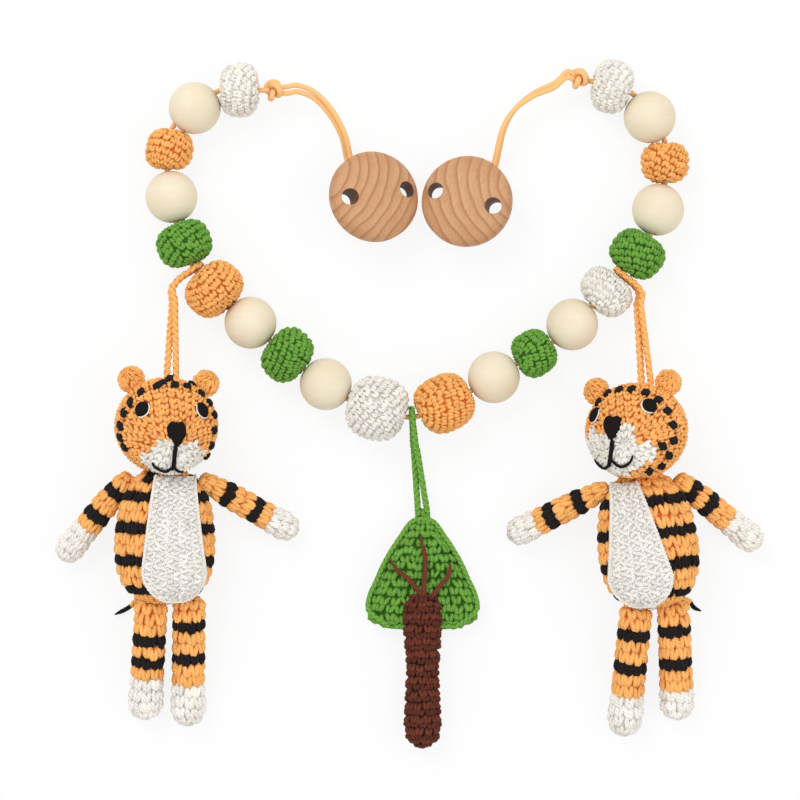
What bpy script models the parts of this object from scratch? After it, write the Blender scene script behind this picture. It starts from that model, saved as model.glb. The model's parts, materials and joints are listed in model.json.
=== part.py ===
"""A pram chain toy, lying flat as on a table: beads on an elastic cord, a wooden clip at each end,
and two crocheted tigers and a tree that hang between the beads.

+X is right and +Y is up as the toy is seen from above, +Z is towards the viewer, and the table is
at z = 0. Lengths are in metres and angles in degrees.
"""

import math

import bmesh
import bpy
import numpy as np
from mathutils import Matrix, Vector

GAP = 0.0003  # kept between neighbouring pieces
OVERRUN = 0.002  # how far a cutter reaches past what it cuts

# The point on the cord where the tree hangs; the whole chain is set out from here
HANG_X = 0.0005
HANG_Y = -0.0009

# The elastic cord and the beads
CORD_DIAMETER = 0.0020
BORE_DIAMETER = 0.0046
STRAIGHT_SHARE = 0.8  # how much of each bore the cord runs straight in
WOOD_DIAMETER = 0.0200
SMALL_DIAMETER = 0.0188
SMALL_LENGTH = 0.0158
MEDIUM_DIAMETER = 0.0214
MEDIUM_LENGTH = 0.0152
FULL_DIAMETER = 0.0218
FULL_LENGTH = 0.0168
LARGE_DIAMETER = 0.0240
LARGE_LENGTH = 0.0176
PALE_CENTRE_DIAMETER = 0.0252
PALE_CENTRE_LENGTH = 0.0228
BRIGHT_CENTRE_DIAMETER = 0.0226
BRIGHT_CENTRE_LENGTH = 0.0220
CROCHET_FULLNESS = 2.35  # exponent of the crocheted beads' outline: 2 is an ellipse
BEAD_SIDES = 14
BEAD_RINGS = 6

# Along the chain, from the left clip to the right one
BEADS = (
    ("white", MEDIUM_DIAMETER, MEDIUM_LENGTH),
    ("wood", WOOD_DIAMETER, WOOD_DIAMETER),
    ("orange", SMALL_DIAMETER, SMALL_LENGTH),
    ("wood", WOOD_DIAMETER, WOOD_DIAMETER),
    ("green", FULL_DIAMETER, FULL_LENGTH),
    ("orange", LARGE_DIAMETER, LARGE_LENGTH),
    ("wood", WOOD_DIAMETER, WOOD_DIAMETER),
    ("green", FULL_DIAMETER, FULL_LENGTH),
    ("wood", WOOD_DIAMETER, WOOD_DIAMETER),
    ("white", PALE_CENTRE_DIAMETER, PALE_CENTRE_LENGTH),
    ("orange", BRIGHT_CENTRE_DIAMETER, BRIGHT_CENTRE_LENGTH),
    ("wood", WOOD_DIAMETER, WOOD_DIAMETER),
    ("green", SMALL_DIAMETER, SMALL_LENGTH),
    ("wood", WOOD_DIAMETER, WOOD_DIAMETER),
    ("white", MEDIUM_DIAMETER, MEDIUM_LENGTH),
    ("green", FULL_DIAMETER, FULL_LENGTH),
    ("wood", WOOD_DIAMETER, WOOD_DIAMETER),
    ("orange", SMALL_DIAMETER, SMALL_LENGTH),
    ("wood", WOOD_DIAMETER, WOOD_DIAMETER),
    ("white", MEDIUM_DIAMETER, MEDIUM_LENGTH),
)
# The heading of each bead's bore along the cord
AXES = (180, 218, 264, 280, 291, 316, 318, 320, 325, 343, 386, 391, 390, 403, 406, 414, 434, 450, 484, 525)
LEFT_TIGER_BEAD = 5  # a pendant hangs after the bead of this number
TREE_BEAD = 10
RIGHT_TIGER_BEAD = 15

# The knots: a trefoil of the cord
KNOT_RADIUS = 0.00275
KNOT_SWELL = 0.00123
KNOT_STEPS = 36

# The wooden clips, met side by side
CLIPS_ACROSS = 0.0037  # from the tree's hanging point to halfway between the discs
CLIPS_UP = 0.0798
CLIPS_SPACING = 0.0348
CLIPS_HEADING = -3
DISC_DIAMETER = 0.0350
DISC_RIM = 0.0042  # height of the widest line above the flat back
DISC_THICKNESS = 0.0108
DISC_BACK_ROUND = 0.0018
DISC_STEPS = 32
VENT_DIAMETER = 0.0062
VENT_SPACING = 0.0234
# Per clip: heading of its long axis towards the cord, how far the disc tilts and towards which heading
LEFT_CLIP = {"heading": 100, "tilt": 22, "tilt_heading": 28}
RIGHT_CLIP = {"heading": 74, "tilt": 14, "tilt_heading": 145}

# The elastic loops, each from its knot by some places to the bar of the clip's eye
LOOP_START = 0.0050
LOOP_LEAD = 0.0060
LEFT_LOOP_ACROSS = -0.0042
RIGHT_LOOP_ACROSS = 0.0047
LEFT_LOOP_PLACES = (
    (-0.0430, 0.1213, 0.0107), (-0.0366, 0.1187, 0.0106), (-0.0303, 0.1121, 0.0103), (-0.0258, 0.1038, 0.0096),
)
RIGHT_LOOP_PLACES = (
    (0.0557, 0.1226, 0.0107), (0.0478, 0.1191, 0.0106), (0.0406, 0.1135, 0.0103), (0.0361, 0.1058, 0.0096),
)

# The clip's metal parts, measured from the middle of the disc's flat back
SHEET = 0.0010
PLATE_WIDTH = 0.0150
PLATE_FOOT = 0.0120  # how far the plate reaches away from the cord
PLATE_BEND = 0.0055  # where it bends away from the disc
EYE_DROP = 0.0034
EYE_START = 0.0083
EYE_END = 0.0142
EYE_SLOT = 0.0031
EYE_BAR = 0.0018
EYE_CHEEK = 0.0014
EAR_START = -0.0108
EAR_END = -0.0030
EAR_DEPTH = 0.0062
PIN_DIAMETER = 0.0018
PIN_ALONG = -0.0068
PIN_DEPTH = 0.0047
PIN_HEAD = 0.0030
PIN_HEAD_THICKNESS = 0.0006
LEVER_WIDTH = 0.0112
LEVER_DEPTH = 0.0081  # from the disc's back to the outside of the lever
LEVER_END = 0.0060
LEVER_LIP = 0.0012
JAW_SETBACK = 0.00135
JAW_SHEET = 0.00055
JAW_CLEARANCE = 0.0007
TOOTH_DEPTH = 0.0011
TEETH = 5
RIVET_DIAMETER = 0.0030
RIVET_HEAD = 0.0062
RIVET_HEAD_THICKNESS = 0.0010
RIVET_DEPTH = 0.0050

# The crocheted pendants
YARN_LOOP_DIAMETER = 0.0024
YARN_LOOP_SPACING = 0.0038
LOOP_BEND_STEPS = 4
HEAD_WIDTH = 0.0400
HEAD_HEIGHT = 0.0376
HEAD_DEPTH = 0.0360
MUZZLE_WIDTH = 0.0236
MUZZLE_HEIGHT = 0.0200
MUZZLE_LENGTH = 0.0190
MUZZLE_DROP = 0.0080
MUZZLE_FORWARD = 0.0105
EYE_DIAMETER = 0.0060
EYE_HEIGHT = 0.0030
EYE_ACROSS = 0.0117
EYE_UP = 0.0058
NOSE_WIDTH = 0.0076
NOSE_HEIGHT = 0.0090
NOSE_DROP = 0.0038
NOSE_THICKNESS = 0.0034
EAR_DIAMETER = 0.0108
EAR_THICKNESS = 0.0052
EAR_STAND = 0.0029  # from the head's outline to the middle of an ear
EAR_HEADING = 50
NECK_DROP = 0.0160
BODY_LENGTH = 0.0524
BODY_WIDTH = 0.0390
BODY_DEPTH = 0.0300
# Shares of the body's length from the neck, and its width at each as a share of the widest
BODY_SHARES = (0, 0.01, 0.04, 0.08, 0.16, 0.26, 0.42, 0.58, 0.72, 0.82, 0.90, 0.95, 0.985, 1)
BODY_WIDTH_SHARES = (0.2, 0.35, 0.52, 0.63, 0.79, 0.90, 0.975, 1, 0.965, 0.89, 0.75, 0.59, 0.40, 0.2)
PATCH_THICKNESS = 0.0016
PATCH_WIDTH = 0.0246
PATCH_TOP_WIDTH = 0.0176
PATCH_DROP = 0.0030  # of its upper edge below the body's
PATCH_LENGTH = 0.0484
ARM_LENGTH = 0.0396
ARM_ROOT = 0.0080
SHOULDER_DROP = 0.0216  # from the head's middle
SHOULDER_SPACING = 0.0316
ARM_DIAMETER = 0.0106
PAW_DIAMETER = 0.0116
LEG_ROOT = 0.0056
LEG_ROOT_WIDTH = 0.0130
LEG_DIAMETER = 0.0130
FOOT_DIAMETER = 0.0140
LEG_SPACING = 0.0145
HIP_SHARE = 0.2  # of the leg's top that stands clear of the body's edge
TAIL_LENGTH = 0.0110
TAIL_DIAMETER = 0.0030
TAIL_SHARE = 0.93
TAIL_UNDER = 40  # how far round the body's underside it starts
TAIL_INSET = 0.0004  # how much nearer it is than to a round body, as the body has flat facets
# Per tiger: where the head hangs beside and below the cord, where the loop and the belly patch lie beside the
# middle, the headings of the body, arms and legs, how long each leg is, and how far the head turns
# to the viewer's right, nods up and rolls
LEFT_TIGER = {
    "across": -0.0104, "drop": 0.0604, "loop": 0.0020, "patch": 0.0031, "body": 269,
    "arms": (230, 330), "legs": (266, 269), "leg_lengths": (0.0445, 0.0480), "hips": 0.0024,
    "turn": 8, "nod": 0, "roll": -3, "tail": -1,
}
RIGHT_TIGER = {
    "across": 0.0050, "drop": 0.0602, "loop": 0.0036, "patch": -0.0022, "body": 276,
    "arms": (207, 321), "legs": (265, 273), "leg_lengths": (0.0490, 0.0440), "hips": 0.0000,
    "turn": -19, "nod": 6, "roll": 7, "tail": 1,
}

# The tree
CROWN_DROP = 0.0373  # from the cord down to the crown's tip
CROWN_ACROSS = 0.0040
CROWN_WIDTH = 0.0450
CROWN_HEIGHT = 0.0450
CROWN_THICKNESS = 0.0096
TRUNK_TOP_DROP = 0.0681
TRUNK_LENGTH = 0.0598
TRUNK_TOP_DIAMETER = 0.0158
TRUNK_WAIST_DIAMETER = 0.0128
TRUNK_FOOT_DIAMETER = 0.0148
BRANCH_DIAMETER = 0.0019
BRANCH_OVERLAP = 0.0030
BRANCH_STEPS = 6
BRANCH_HEADINGS = (125, 93, 59)
# Each branch's start beside the middle of the trunk's top as a share of the top's diameter, its length
# as a share of the crown's height, and its sideways bow as a share of its length
BRANCH_SHARES = ((-0.158, 0.369, 0), (0.076, 0.478, -0.065), (0.209, 0.322, -0.124))
# Shares of the crown's height from its tip, and its width at each as a share of the widest
CROWN_SHARES = (0, 0.12, 0.4, 0.78, 0.93, 1)
CROWN_WIDTH_SHARES = (0.10, 0.30, 0.66, 1, 0.93, 0.6)
# Shares of the trunk's length from its top, and its diameter at each
TRUNK_SHARES = (0, 0.05, 0.15, 0.5, 0.85, 0.95, 1)
TRUNK_WIDTHS = (
    0.6 * TRUNK_TOP_DIAMETER, 0.9 * TRUNK_TOP_DIAMETER, TRUNK_TOP_DIAMETER, TRUNK_WAIST_DIAMETER,
    TRUNK_FOOT_DIAMETER, 0.85 * TRUNK_FOOT_DIAMETER, 0.3 * TRUNK_FOOT_DIAMETER,
)

PALETTE = {
    "orange": (0.91, 0.38, 0.09), "green": (0.08, 0.36, 0.03), "white": (0.80, 0.78, 0.75),
    "wood": (0.87, 0.76, 0.52), "beech": (0.62, 0.36, 0.18), "elastic": (0.93, 0.47, 0.12),
    "steel": (0.72, 0.72, 0.72), "brown": (0.16, 0.045, 0.018),
}
FINISH = {"wood": (0.45, 0.0), "beech": (0.5, 0.0), "steel": (0.25, 1.0)}  # roughness, metallic
CLOTH_FINISH = (0.9, 0.0)


def clear_scene():
    for thing in list(bpy.data.objects):
        bpy.data.objects.remove(thing, do_unlink=True)


def heading(degrees, length=1.0):
    """The level vector of this length at this angle from +X."""
    angle = math.radians(degrees)
    return Vector((math.cos(angle), math.sin(angle), 0)) * length


def finish(obj, colour):
    """Gives the object a material of its own."""
    made = bpy.data.materials.new(obj.name)
    made.use_nodes = True
    shader = made.node_tree.nodes["Principled BSDF"]
    shader.inputs["Base Color"].default_value = (*PALETTE[colour], 1)
    roughness, metallic = FINISH.get(colour, CLOTH_FINISH)
    shader.inputs["Roughness"].default_value = roughness
    shader.inputs["Metallic"].default_value = metallic
    obj.data.materials.append(made)


def add(name, bm, colour="steel", smooth=35):
    """Turns a bmesh into a named object, shaded smooth except over sharp edges."""
    bm.normal_update()
    bmesh.ops.recalc_face_normals(bm, faces=bm.faces)
    mesh = bpy.data.meshes.new(name)
    bm.to_mesh(mesh)
    bm.free()
    mesh.shade_smooth()
    mesh.set_sharp_from_angle(angle=math.radians(smooth))
    obj = bpy.data.objects.new(name, mesh)
    bpy.context.scene.collection.objects.link(obj)
    finish(obj, colour)
    return obj


def pivot(name, at, parent=None):
    """An empty on a joint's axis, which carries what moves there."""
    empty = bpy.data.objects.new(name, None)
    bpy.context.scene.collection.objects.link(empty)
    empty.empty_display_size = BORE_DIAMETER
    empty.location = at
    if parent:
        empty.parent = parent
        empty.location = Vector(at) - world_place(parent)
    return empty


def world_place(obj):
    place = Vector(obj.location)
    while obj.parent:
        obj = obj.parent
        place += obj.location
    return place


def carry(empty, *objects):
    """Puts objects that were made in world coordinates under an empty, with their origins on it."""
    for obj in objects:
        obj.data.transform(Matrix.Translation(-world_place(empty)))
        obj.parent = empty


def boolean(target, operation, cutter):
    cutter.hide_render = True
    cutter.display_type = "WIRE"
    modifier = target.modifiers.new(cutter.name, "BOOLEAN")
    modifier.operation = operation
    modifier.object = cutter


def spun(name, profile, steps, place=Matrix(), colour="steel", smooth=35):
    """A closed profile of (radius, height) turned about the height's axis."""
    bm = bmesh.new()
    points = [bm.verts.new((radius, 0, height)) for radius, height in profile]
    rim = [bm.edges.new(pair) for pair in zip(points, points[1:] + points[:1])]
    bmesh.ops.spin(
        bm, geom=points + rim, axis=(0, 0, 1), cent=(0, 0, 0),
        angle=math.tau, steps=steps, use_merge=True,
    )
    bmesh.ops.remove_doubles(bm, verts=bm.verts, dist=GAP / 100)
    bm.transform(place)
    return add(name, bm, colour, smooth)


def turned(name, profile, steps, place=Matrix(), colour="steel", smooth=35):
    """A profile of (radius, height) that starts and ends on the axis, turned about it."""
    bm = bmesh.new()
    rings = []
    for radius, height in profile:
        if radius == 0:
            rings.append([bm.verts.new((0, 0, height))])
            continue
        angles = [math.tau * step / steps for step in range(steps)]
        rings.append([bm.verts.new((radius * math.cos(a), radius * math.sin(a), height)) for a in angles])
    for lower, upper in zip(rings, rings[1:]):
        for step in range(steps):
            corners = [ring[(step + turn) % len(ring)] for ring, turn in
                       ((lower, 0), (lower, 1), (upper, 1), (upper, 0))]
            bm.faces.new(list(dict.fromkeys(corners)))
    bm.transform(place)
    return add(name, bm, colour, smooth)


def lofted(name, centres, across, deep, widths, depths, sides, colour, fullness=2.0):
    """Skin over oval sections: each has a centre, its half width along one vector and its half depth
    along the other, and the first and last close to a small flat."""
    bm = bmesh.new()
    turn = np.arange(sides) * math.tau / sides
    bow = 2 / fullness
    wide = np.sign(np.cos(turn)) * np.abs(np.cos(turn)) ** bow
    high = np.sign(np.sin(turn)) * np.abs(np.sin(turn)) ** bow
    rings = []
    for centre, width, depth in zip(centres, widths, depths):
        points = np.array(centre) + np.outer(wide * width, across) + np.outer(high * depth, deep)
        rings.append([bm.verts.new(point) for point in points])
    for lower, upper in zip(rings, rings[1:]):
        for step in range(sides):
            after = (step + 1) % sides
            bm.faces.new((lower[step], lower[after], upper[after], upper[step]))
    bm.faces.new(rings[0])
    bm.faces.new(rings[-1])
    return add(name, bm, colour, 60)


def extruded(name, outline, thickness, place, colour="steel", corners=(), radius=0.0):
    """A flat outline of (x, y) points given a thickness centred on its plane; the corners with the
    listed numbers are rounded off first."""
    bm = bmesh.new()
    lower = [bm.verts.new((x, y, -thickness / 2)) for x, y in outline]
    face = bm.faces.new(lower)
    if radius:
        bmesh.ops.bevel(
            bm, geom=[lower[number] for number in corners], offset=radius, segments=4,
            affect="VERTICES", profile=0.5,
        )
    face = bm.faces[:][0]
    made = bmesh.ops.extrude_face_region(bm, geom=[face])["geom"]
    raised = [part for part in made if isinstance(part, bmesh.types.BMVert)]
    bmesh.ops.translate(bm, verts=raised, vec=(0, 0, thickness))
    bm.transform(place)
    return add(name, bm, colour)


def ball(name, centre, radii, turn=Matrix(), colour="steel", segments=16, rings=10):
    """An ellipsoid; its poles are at the ends of its third radius."""
    bm = bmesh.new()
    bmesh.ops.create_uvsphere(bm, u_segments=segments, v_segments=rings, radius=1)
    bm.transform(Matrix.Translation(centre) @ turn @ Matrix.Diagonal((*radii, 1)))
    return add(name, bm, colour, 60)


def tube(name, points, diameter, colour, resolution=2, cyclic=False):
    """A round cord along the points."""
    curve = bpy.data.curves.new(name, "CURVE")
    curve.dimensions = "3D"
    curve.bevel_depth = diameter / 2
    curve.bevel_resolution = resolution
    curve.use_fill_caps = True
    spline = curve.splines.new("POLY")
    spline.points.add(len(points) - 1)
    for slot, point in zip(spline.points, points):
        slot.co = (*point, 1)
    spline.use_cyclic_u = cyclic
    obj = bpy.data.objects.new(name, curve)
    bpy.context.scene.collection.objects.link(obj)
    finish(obj, colour)
    return obj


def smooth_route(points, spacing):
    """Points on the Catmull-Rom curve through a route's own points, no further apart than the spacing."""
    p = np.array([tuple(point) for point in points])
    p = np.vstack([2 * p[0] - p[1], p, 2 * p[-1] - p[-2]])
    route = []
    for a, b, c, d in zip(p, p[1:], p[2:], p[3:]):
        count = math.ceil(np.linalg.norm(c - b) / spacing)
        t = np.linspace(0, 1, count, endpoint=False)[:, None]
        route.append(
            b + (c - a) * t / 2 + (a - 2.5 * b + 2 * c - d / 2) * t**2 + (1.5 * (b - c) + (d - a) / 2) * t**3
        )
    return [Vector(point) for point in np.vstack([*route, p[-2:-1]])]


# The chain: where each bead lies


def bead_fullness(kind):
    return 2.0 if kind == "wood" else CROCHET_FULLNESS


def bead_outline(bead, turn):
    """(along the cord, across it) at each angle of a bead's outline, a superellipse."""
    kind, diameter, length = bead
    bow = 2 / bead_fullness(kind)
    along = length / 2 * np.sign(np.cos(turn)) * np.abs(np.cos(turn)) ** bow
    across = diameter / 2 * np.sign(np.sin(turn)) * np.abs(np.sin(turn)) ** bow
    return along, across


def bead_axis(number):
    return AXES[number - 1]


def bead_step(number):
    """The heading to the next bead, such that the two bores meet end to end."""
    arms = [heading(bead_axis(end), BEADS[end - 1][2]) for end in (number, number + 1)]
    run = arms[0] + arms[1]
    return math.degrees(math.atan2(run.y, run.x))


def bead_reach(number, towards):
    """How far a bead reaches from its middle in each of some directions, given as angles."""
    along, across = bead_outline(BEADS[number - 1], np.linspace(0, math.tau, 145))
    relative = towards - math.radians(bead_axis(number))
    return (np.outer(np.cos(relative), along) + np.outer(np.sin(relative), across)).max(axis=1)


def bead_pitch(number):
    """The distance to the next bead at which the two just clear, with room for a yarn loop."""
    between = GAP
    if number in (LEFT_TIGER_BEAD, TREE_BEAD, RIGHT_TIGER_BEAD):
        between = YARN_LOOP_DIAMETER + 2 * GAP
    fan = np.radians(np.linspace(-60, 60, 121))
    towards = fan + math.radians(bead_step(number))
    reach = bead_reach(number, towards) + bead_reach(number + 1, towards + math.pi)
    return float(((reach + between) / np.cos(fan)).min())


def bead_places():
    """The middle of each bead, walked out both ways from where the tree hangs."""
    places = {}
    start = Vector((HANG_X, HANG_Y, 0))
    half = heading(bead_step(TREE_BEAD), bead_pitch(TREE_BEAD) / 2)
    places[TREE_BEAD] = start - half
    places[TREE_BEAD + 1] = start + half
    for number in range(TREE_BEAD - 1, 0, -1):
        places[number] = places[number + 1] - heading(bead_step(number), bead_pitch(number))
    for number in range(TREE_BEAD + 2, len(BEADS) + 1):
        places[number] = places[number - 1] + heading(bead_step(number - 1), bead_pitch(number - 1))
    for number, place in places.items():
        place.z = bead_height(number)
    return places


def bead_height(number):
    """A bead lies on the table unless the cord through a larger neighbour lifts it."""
    most = BORE_DIAMETER - CORD_DIAMETER - 4 * GAP
    beside = BEADS[max(0, number - 2):number + 1]
    return max(BEADS[number - 1][1] / 2, max(bead[1] for bead in beside) / 2 - most)


def bead_name(number):
    kind = BEADS[number - 1][0]
    return f"bead_{number:02d}_{kind}" if kind == "wood" else f"bead_{number:02d}_{kind}_crochet"


def make_bead(number, place):
    """A wooden ball or a crocheted barrel with a bore, free to turn on the cord."""
    bead = BEADS[number - 1]
    bore = BORE_DIAMETER / 2
    start = math.asin((bore / (bead[1] / 2)) ** (bead_fullness(bead[0]) / 2))
    turn = np.linspace(start, math.pi - start, BEAD_RINGS + 1)
    along, across = bead_outline(bead, turn)
    profile = list(zip(across, along)) + [(bore, 0)]
    spin = pivot(bead_name(number) + "_axis", place)
    obj = spun(bead_name(number), profile, BEAD_SIDES, Matrix(), bead[0])
    obj.parent = spin
    spin.rotation_euler = (0, math.radians(90), math.radians(bead_axis(number)))
    return obj


def knot_places(places):
    """The middle of each knot: it lies against the end bead, one trefoil's radius away."""
    reach = KNOT_RADIUS + KNOT_SWELL + CORD_DIAMETER / 2 + 2 * GAP
    left = places[1] - heading(AXES[0], BEADS[0][2] / 2 + reach)
    right = places[len(BEADS)] + heading(AXES[-1], BEADS[-1][2] / 2 + reach)
    return left, right


def cord_route(places):
    """The points of the cord through all the beads, and the one between each bead and the next: it
    is straight inside each bore, with its turns in between."""
    left, right = knot_places(places)
    back_off = KNOT_RADIUS + KNOT_SWELL + CORD_DIAMETER / 2 + GAP
    route = [left + heading(AXES[0], back_off)]
    between = {}
    for number in range(1, len(BEADS) + 1):
        ahead = heading(bead_axis(number))
        half = ahead * (BEADS[number - 1][2] / 2 * STRAIGHT_SHARE)
        near, far = places[number] - half, places[number] + half
        if number > 1:
            free = (near - route[-1]).length
            between[number - 1] = (route[-1] + near) / 2 + (behind - ahead) * free / 8
            route.append(between[number - 1])
        route += [near, far]
        behind = ahead
    route.append(right - heading(AXES[-1], back_off))
    return route, between


def make_knot(name, place, lobe_heading):
    """A trefoil of the cord: it winds three times round a ring while it goes twice round it."""
    turn = np.arange(KNOT_STEPS) * math.tau / KNOT_STEPS
    radius = KNOT_RADIUS + KNOT_SWELL * np.cos(3 * turn)
    angle = 2 * turn + math.radians(lobe_heading)
    points = np.stack(
        [radius * np.cos(angle), radius * np.sin(angle), KNOT_SWELL * np.sin(3 * turn)], axis=1
    )
    apart = np.linalg.norm(points[:, None] - points[None], axis=2)
    steps = np.abs(np.subtract.outer(np.arange(KNOT_STEPS), np.arange(KNOT_STEPS)))
    far = np.minimum(steps, KNOT_STEPS - steps) > KNOT_STEPS // 8
    print(f"{name}: least gap to itself {(apart[far].min() - CORD_DIAMETER) * 1000:.2f} mm")
    tube(name, points + np.array(place), CORD_DIAMETER, "elastic", 1, cyclic=True)


def make_beads():
    places = bead_places()
    for number, place in places.items():
        make_bead(number, place)
    route, between = cord_route(places)
    tube("bead_cord", route, CORD_DIAMETER, "elastic", 1)
    left, right = knot_places(places)
    make_knot("left_knot", left, AXES[0])
    make_knot("right_knot", right, AXES[-1] + 180)
    return places, between


# The wooden clips


def disc_profile():
    """From the middle of the flat back, round its edge, to the rim and over the domed front."""
    radius = DISC_DIAMETER / 2
    rim = DISC_RIM - DISC_BACK_ROUND
    back = [(0, 0)]
    for step in range(3):
        angle = math.radians(45 * step)
        back.append((radius - DISC_BACK_ROUND * (1 - math.sin(angle)), DISC_BACK_ROUND * (1 - math.cos(angle))))
    back.append((radius, DISC_BACK_ROUND + rim))
    dome = []
    for step in range(1, 6):
        angle = math.radians(15 * step)
        dome.append((radius * math.cos(angle) ** 0.86, DISC_RIM + (DISC_THICKNESS - DISC_RIM) * math.sin(angle) ** 0.9))
    return back + dome + [(0, DISC_THICKNESS)]


def rod(name, diameter, start, end, place, steps=16):
    """A plain cylinder along the local height."""
    radius = diameter / 2
    return turned(name, [(0, start), (radius, start), (radius, end), (0, end)], steps, place)


def make_disc(name, frame):
    disc = turned(name, disc_profile(), DISC_STEPS, frame, "beech")
    for side in (-1, 1):
        place = frame @ Matrix.Translation((side * VENT_SPACING / 2, 0, 0))
        vent = rod(f"{name}_vent", VENT_DIAMETER, -OVERRUN, DISC_THICKNESS + OVERRUN, place)
        boolean(disc, "DIFFERENCE", vent)
    hole = rod(f"{name}_rivet_hole", RIVET_DIAMETER + 2 * GAP, -OVERRUN, RIVET_DEPTH + GAP, frame, 12)
    boolean(disc, "DIFFERENCE", hole)
    return disc


def side_on(frame, across=0.0):
    """The frame of a clip's side view: outline x runs along the clip, y away from the disc."""
    turn = Matrix(((0, 0, 1, across), (1, 0, 0, 0), (0, 1, 0, 0), (0, 0, 0, 1)))
    return frame @ turn


def make_plate(name, frame):
    """Bent from sheet: flat under the disc, stepped down to the eye, with two ears for the pin."""
    top = -GAP
    foot, bend, start, end = -PLATE_FOOT, PLATE_BEND, EYE_START, EYE_END
    low = top - EYE_DROP
    lean = SHEET / 3
    side = [
        (foot, top), (bend, top), (start, low), (end, low),
        (end, low - SHEET), (start - lean, low - SHEET), (bend - lean, top - SHEET), (foot, top - SHEET),
    ]
    plate = extruded(name, side, PLATE_WIDTH, side_on(frame))
    depth = top - SHEET / 2
    for across in (-1, 1):
        outer = PLATE_WIDTH / 2 + SHEET / 4
        ear = [
            (EAR_START, depth), (EAR_END, depth), (EAR_END, -EAR_DEPTH), (EAR_START, -EAR_DEPTH),
        ]
        made = extruded(
            f"{name}_ear", ear, SHEET, side_on(frame, across * (outer - SHEET / 2)),
            corners=(2, 3), radius=SHEET * 1.8,
        )
        boolean(plate, "UNION", made)
    slot_width = PLATE_WIDTH - 2 * EYE_CHEEK
    slot_end = EYE_END - EYE_BAR
    slot = [
        (-slot_width / 2, slot_end - EYE_SLOT), (slot_width / 2, slot_end - EYE_SLOT),
        (slot_width / 2, slot_end), (-slot_width / 2, slot_end),
    ]
    cut = extruded(
        f"{name}_slot", slot, 2 * EYE_DROP, frame @ Matrix.Translation((0, 0, low)),
        corners=(0, 1, 2, 3), radius=EYE_SLOT / 4,
    )
    boolean(plate, "DIFFERENCE", cut)
    boolean(plate, "DIFFERENCE", rod(f"{name}_hole", RIVET_DIAMETER + 2 * GAP, -OVERRUN, OVERRUN, frame, 12))
    pin_hole = rod(
        f"{name}_pin_hole", PIN_DIAMETER + 2 * GAP, -PLATE_WIDTH, PLATE_WIDTH, pin_frame(frame), 12
    )
    boolean(plate, "DIFFERENCE", pin_hole)
    return plate


def pin_frame(frame):
    """The hinge pin's own frame: its height runs across the clip."""
    return frame @ Matrix.Translation((0, PIN_ALONG, -PIN_DEPTH)) @ Matrix.Rotation(math.radians(90), 4, "Y")


def make_pin(name, frame):
    radius, head = PIN_DIAMETER / 2, PIN_HEAD / 2
    inner = PLATE_WIDTH / 2 + SHEET / 4 + GAP
    outer = inner + PIN_HEAD_THICKNESS
    profile = [
        (0, -outer), (head * 0.8, -outer), (head, -inner - PIN_HEAD_THICKNESS / 2), (head, -inner),
        (radius, -inner), (radius, inner),
        (head, inner), (head, inner + PIN_HEAD_THICKNESS / 2), (head * 0.8, outer), (0, outer),
    ]
    return turned(name, profile, 12, pin_frame(frame))


def make_rivet(name, frame):
    """Holds the plate to the wood: the shank is in the disc and the low head under the plate."""
    radius, head = RIVET_DIAMETER / 2, RIVET_HEAD / 2
    under = -2 * GAP - SHEET
    profile = [
        (0, under - RIVET_HEAD_THICKNESS), (head * 0.6, under - RIVET_HEAD_THICKNESS),
        (head, under - RIVET_HEAD_THICKNESS / 3), (head, under),
        (radius, under), (radius, RIVET_DEPTH), (0, RIVET_DEPTH),
    ]
    return turned(name, profile, 12, frame)


def make_lever(name, frame):
    """A channel of sheet round the pin, with a toothed jaw that closes on the plate."""
    outside = -LEVER_DEPTH
    jaw = PIN_ALONG - JAW_SETBACK - JAW_SHEET
    cap = [
        (jaw + JAW_SHEET / 4, outside), (LEVER_END, outside), (LEVER_END + LEVER_LIP, outside - LEVER_LIP),
        (LEVER_END + LEVER_LIP + SHEET / 2, outside + SHEET / 2 - LEVER_LIP),
        (LEVER_END + SHEET / 4, outside + SHEET), (jaw + JAW_SHEET / 4, outside + SHEET),
    ]
    lever = extruded(name, cap, LEVER_WIDTH, side_on(frame))
    tip = -GAP - SHEET - JAW_CLEARANCE
    half = LEVER_WIDTH / 2 - SHEET * 0.1
    pitch = 2 * half / TEETH
    edge = []
    for tooth in range(TEETH):
        start = -half + tooth * pitch
        edge += [(start, tip - TOOTH_DEPTH), (start + pitch / 2, tip)]
    edge.append((half, tip - TOOTH_DEPTH))
    wall = [(-half, outside + SHEET / 2)] + edge + [(half, outside + SHEET / 2)]
    upright = Matrix(((1, 0, 0, 0), (0, 0, -1, jaw + JAW_SHEET / 2), (0, 1, 0, 0), (0, 0, 0, 1)))
    boolean(lever, "UNION", extruded(f"{name}_jaw", wall, JAW_SHEET, frame @ upright))
    round_pin = PIN_DIAMETER / 2 + SHEET
    for across in (-1, 1):
        cheek = [
            (jaw + JAW_SHEET / 2, outside + SHEET / 2), (LEVER_END - SHEET, outside + SHEET / 2),
            (PIN_ALONG + round_pin, -PIN_DEPTH + round_pin), (PIN_ALONG - round_pin / 2, -PIN_DEPTH + round_pin),
            (jaw + JAW_SHEET / 2, -PIN_DEPTH),
        ]
        place = side_on(frame, across * (LEVER_WIDTH / 2 - SHEET * 0.7))
        made = extruded(f"{name}_cheek", cheek, SHEET * 0.8, place, corners=(2, 3), radius=SHEET / 2)
        boolean(lever, "UNION", made)
    hole = rod(f"{name}_hole", PIN_DIAMETER + 2 * GAP, -LEVER_WIDTH, LEVER_WIDTH, pin_frame(frame), 12)
    boolean(lever, "DIFFERENCE", hole)
    return lever


def eye_point():
    """The middle of the eye's bar, in a clip's own frame."""
    return Vector((0, EYE_END - EYE_BAR / 2, -GAP - EYE_DROP - SHEET / 2))


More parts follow.
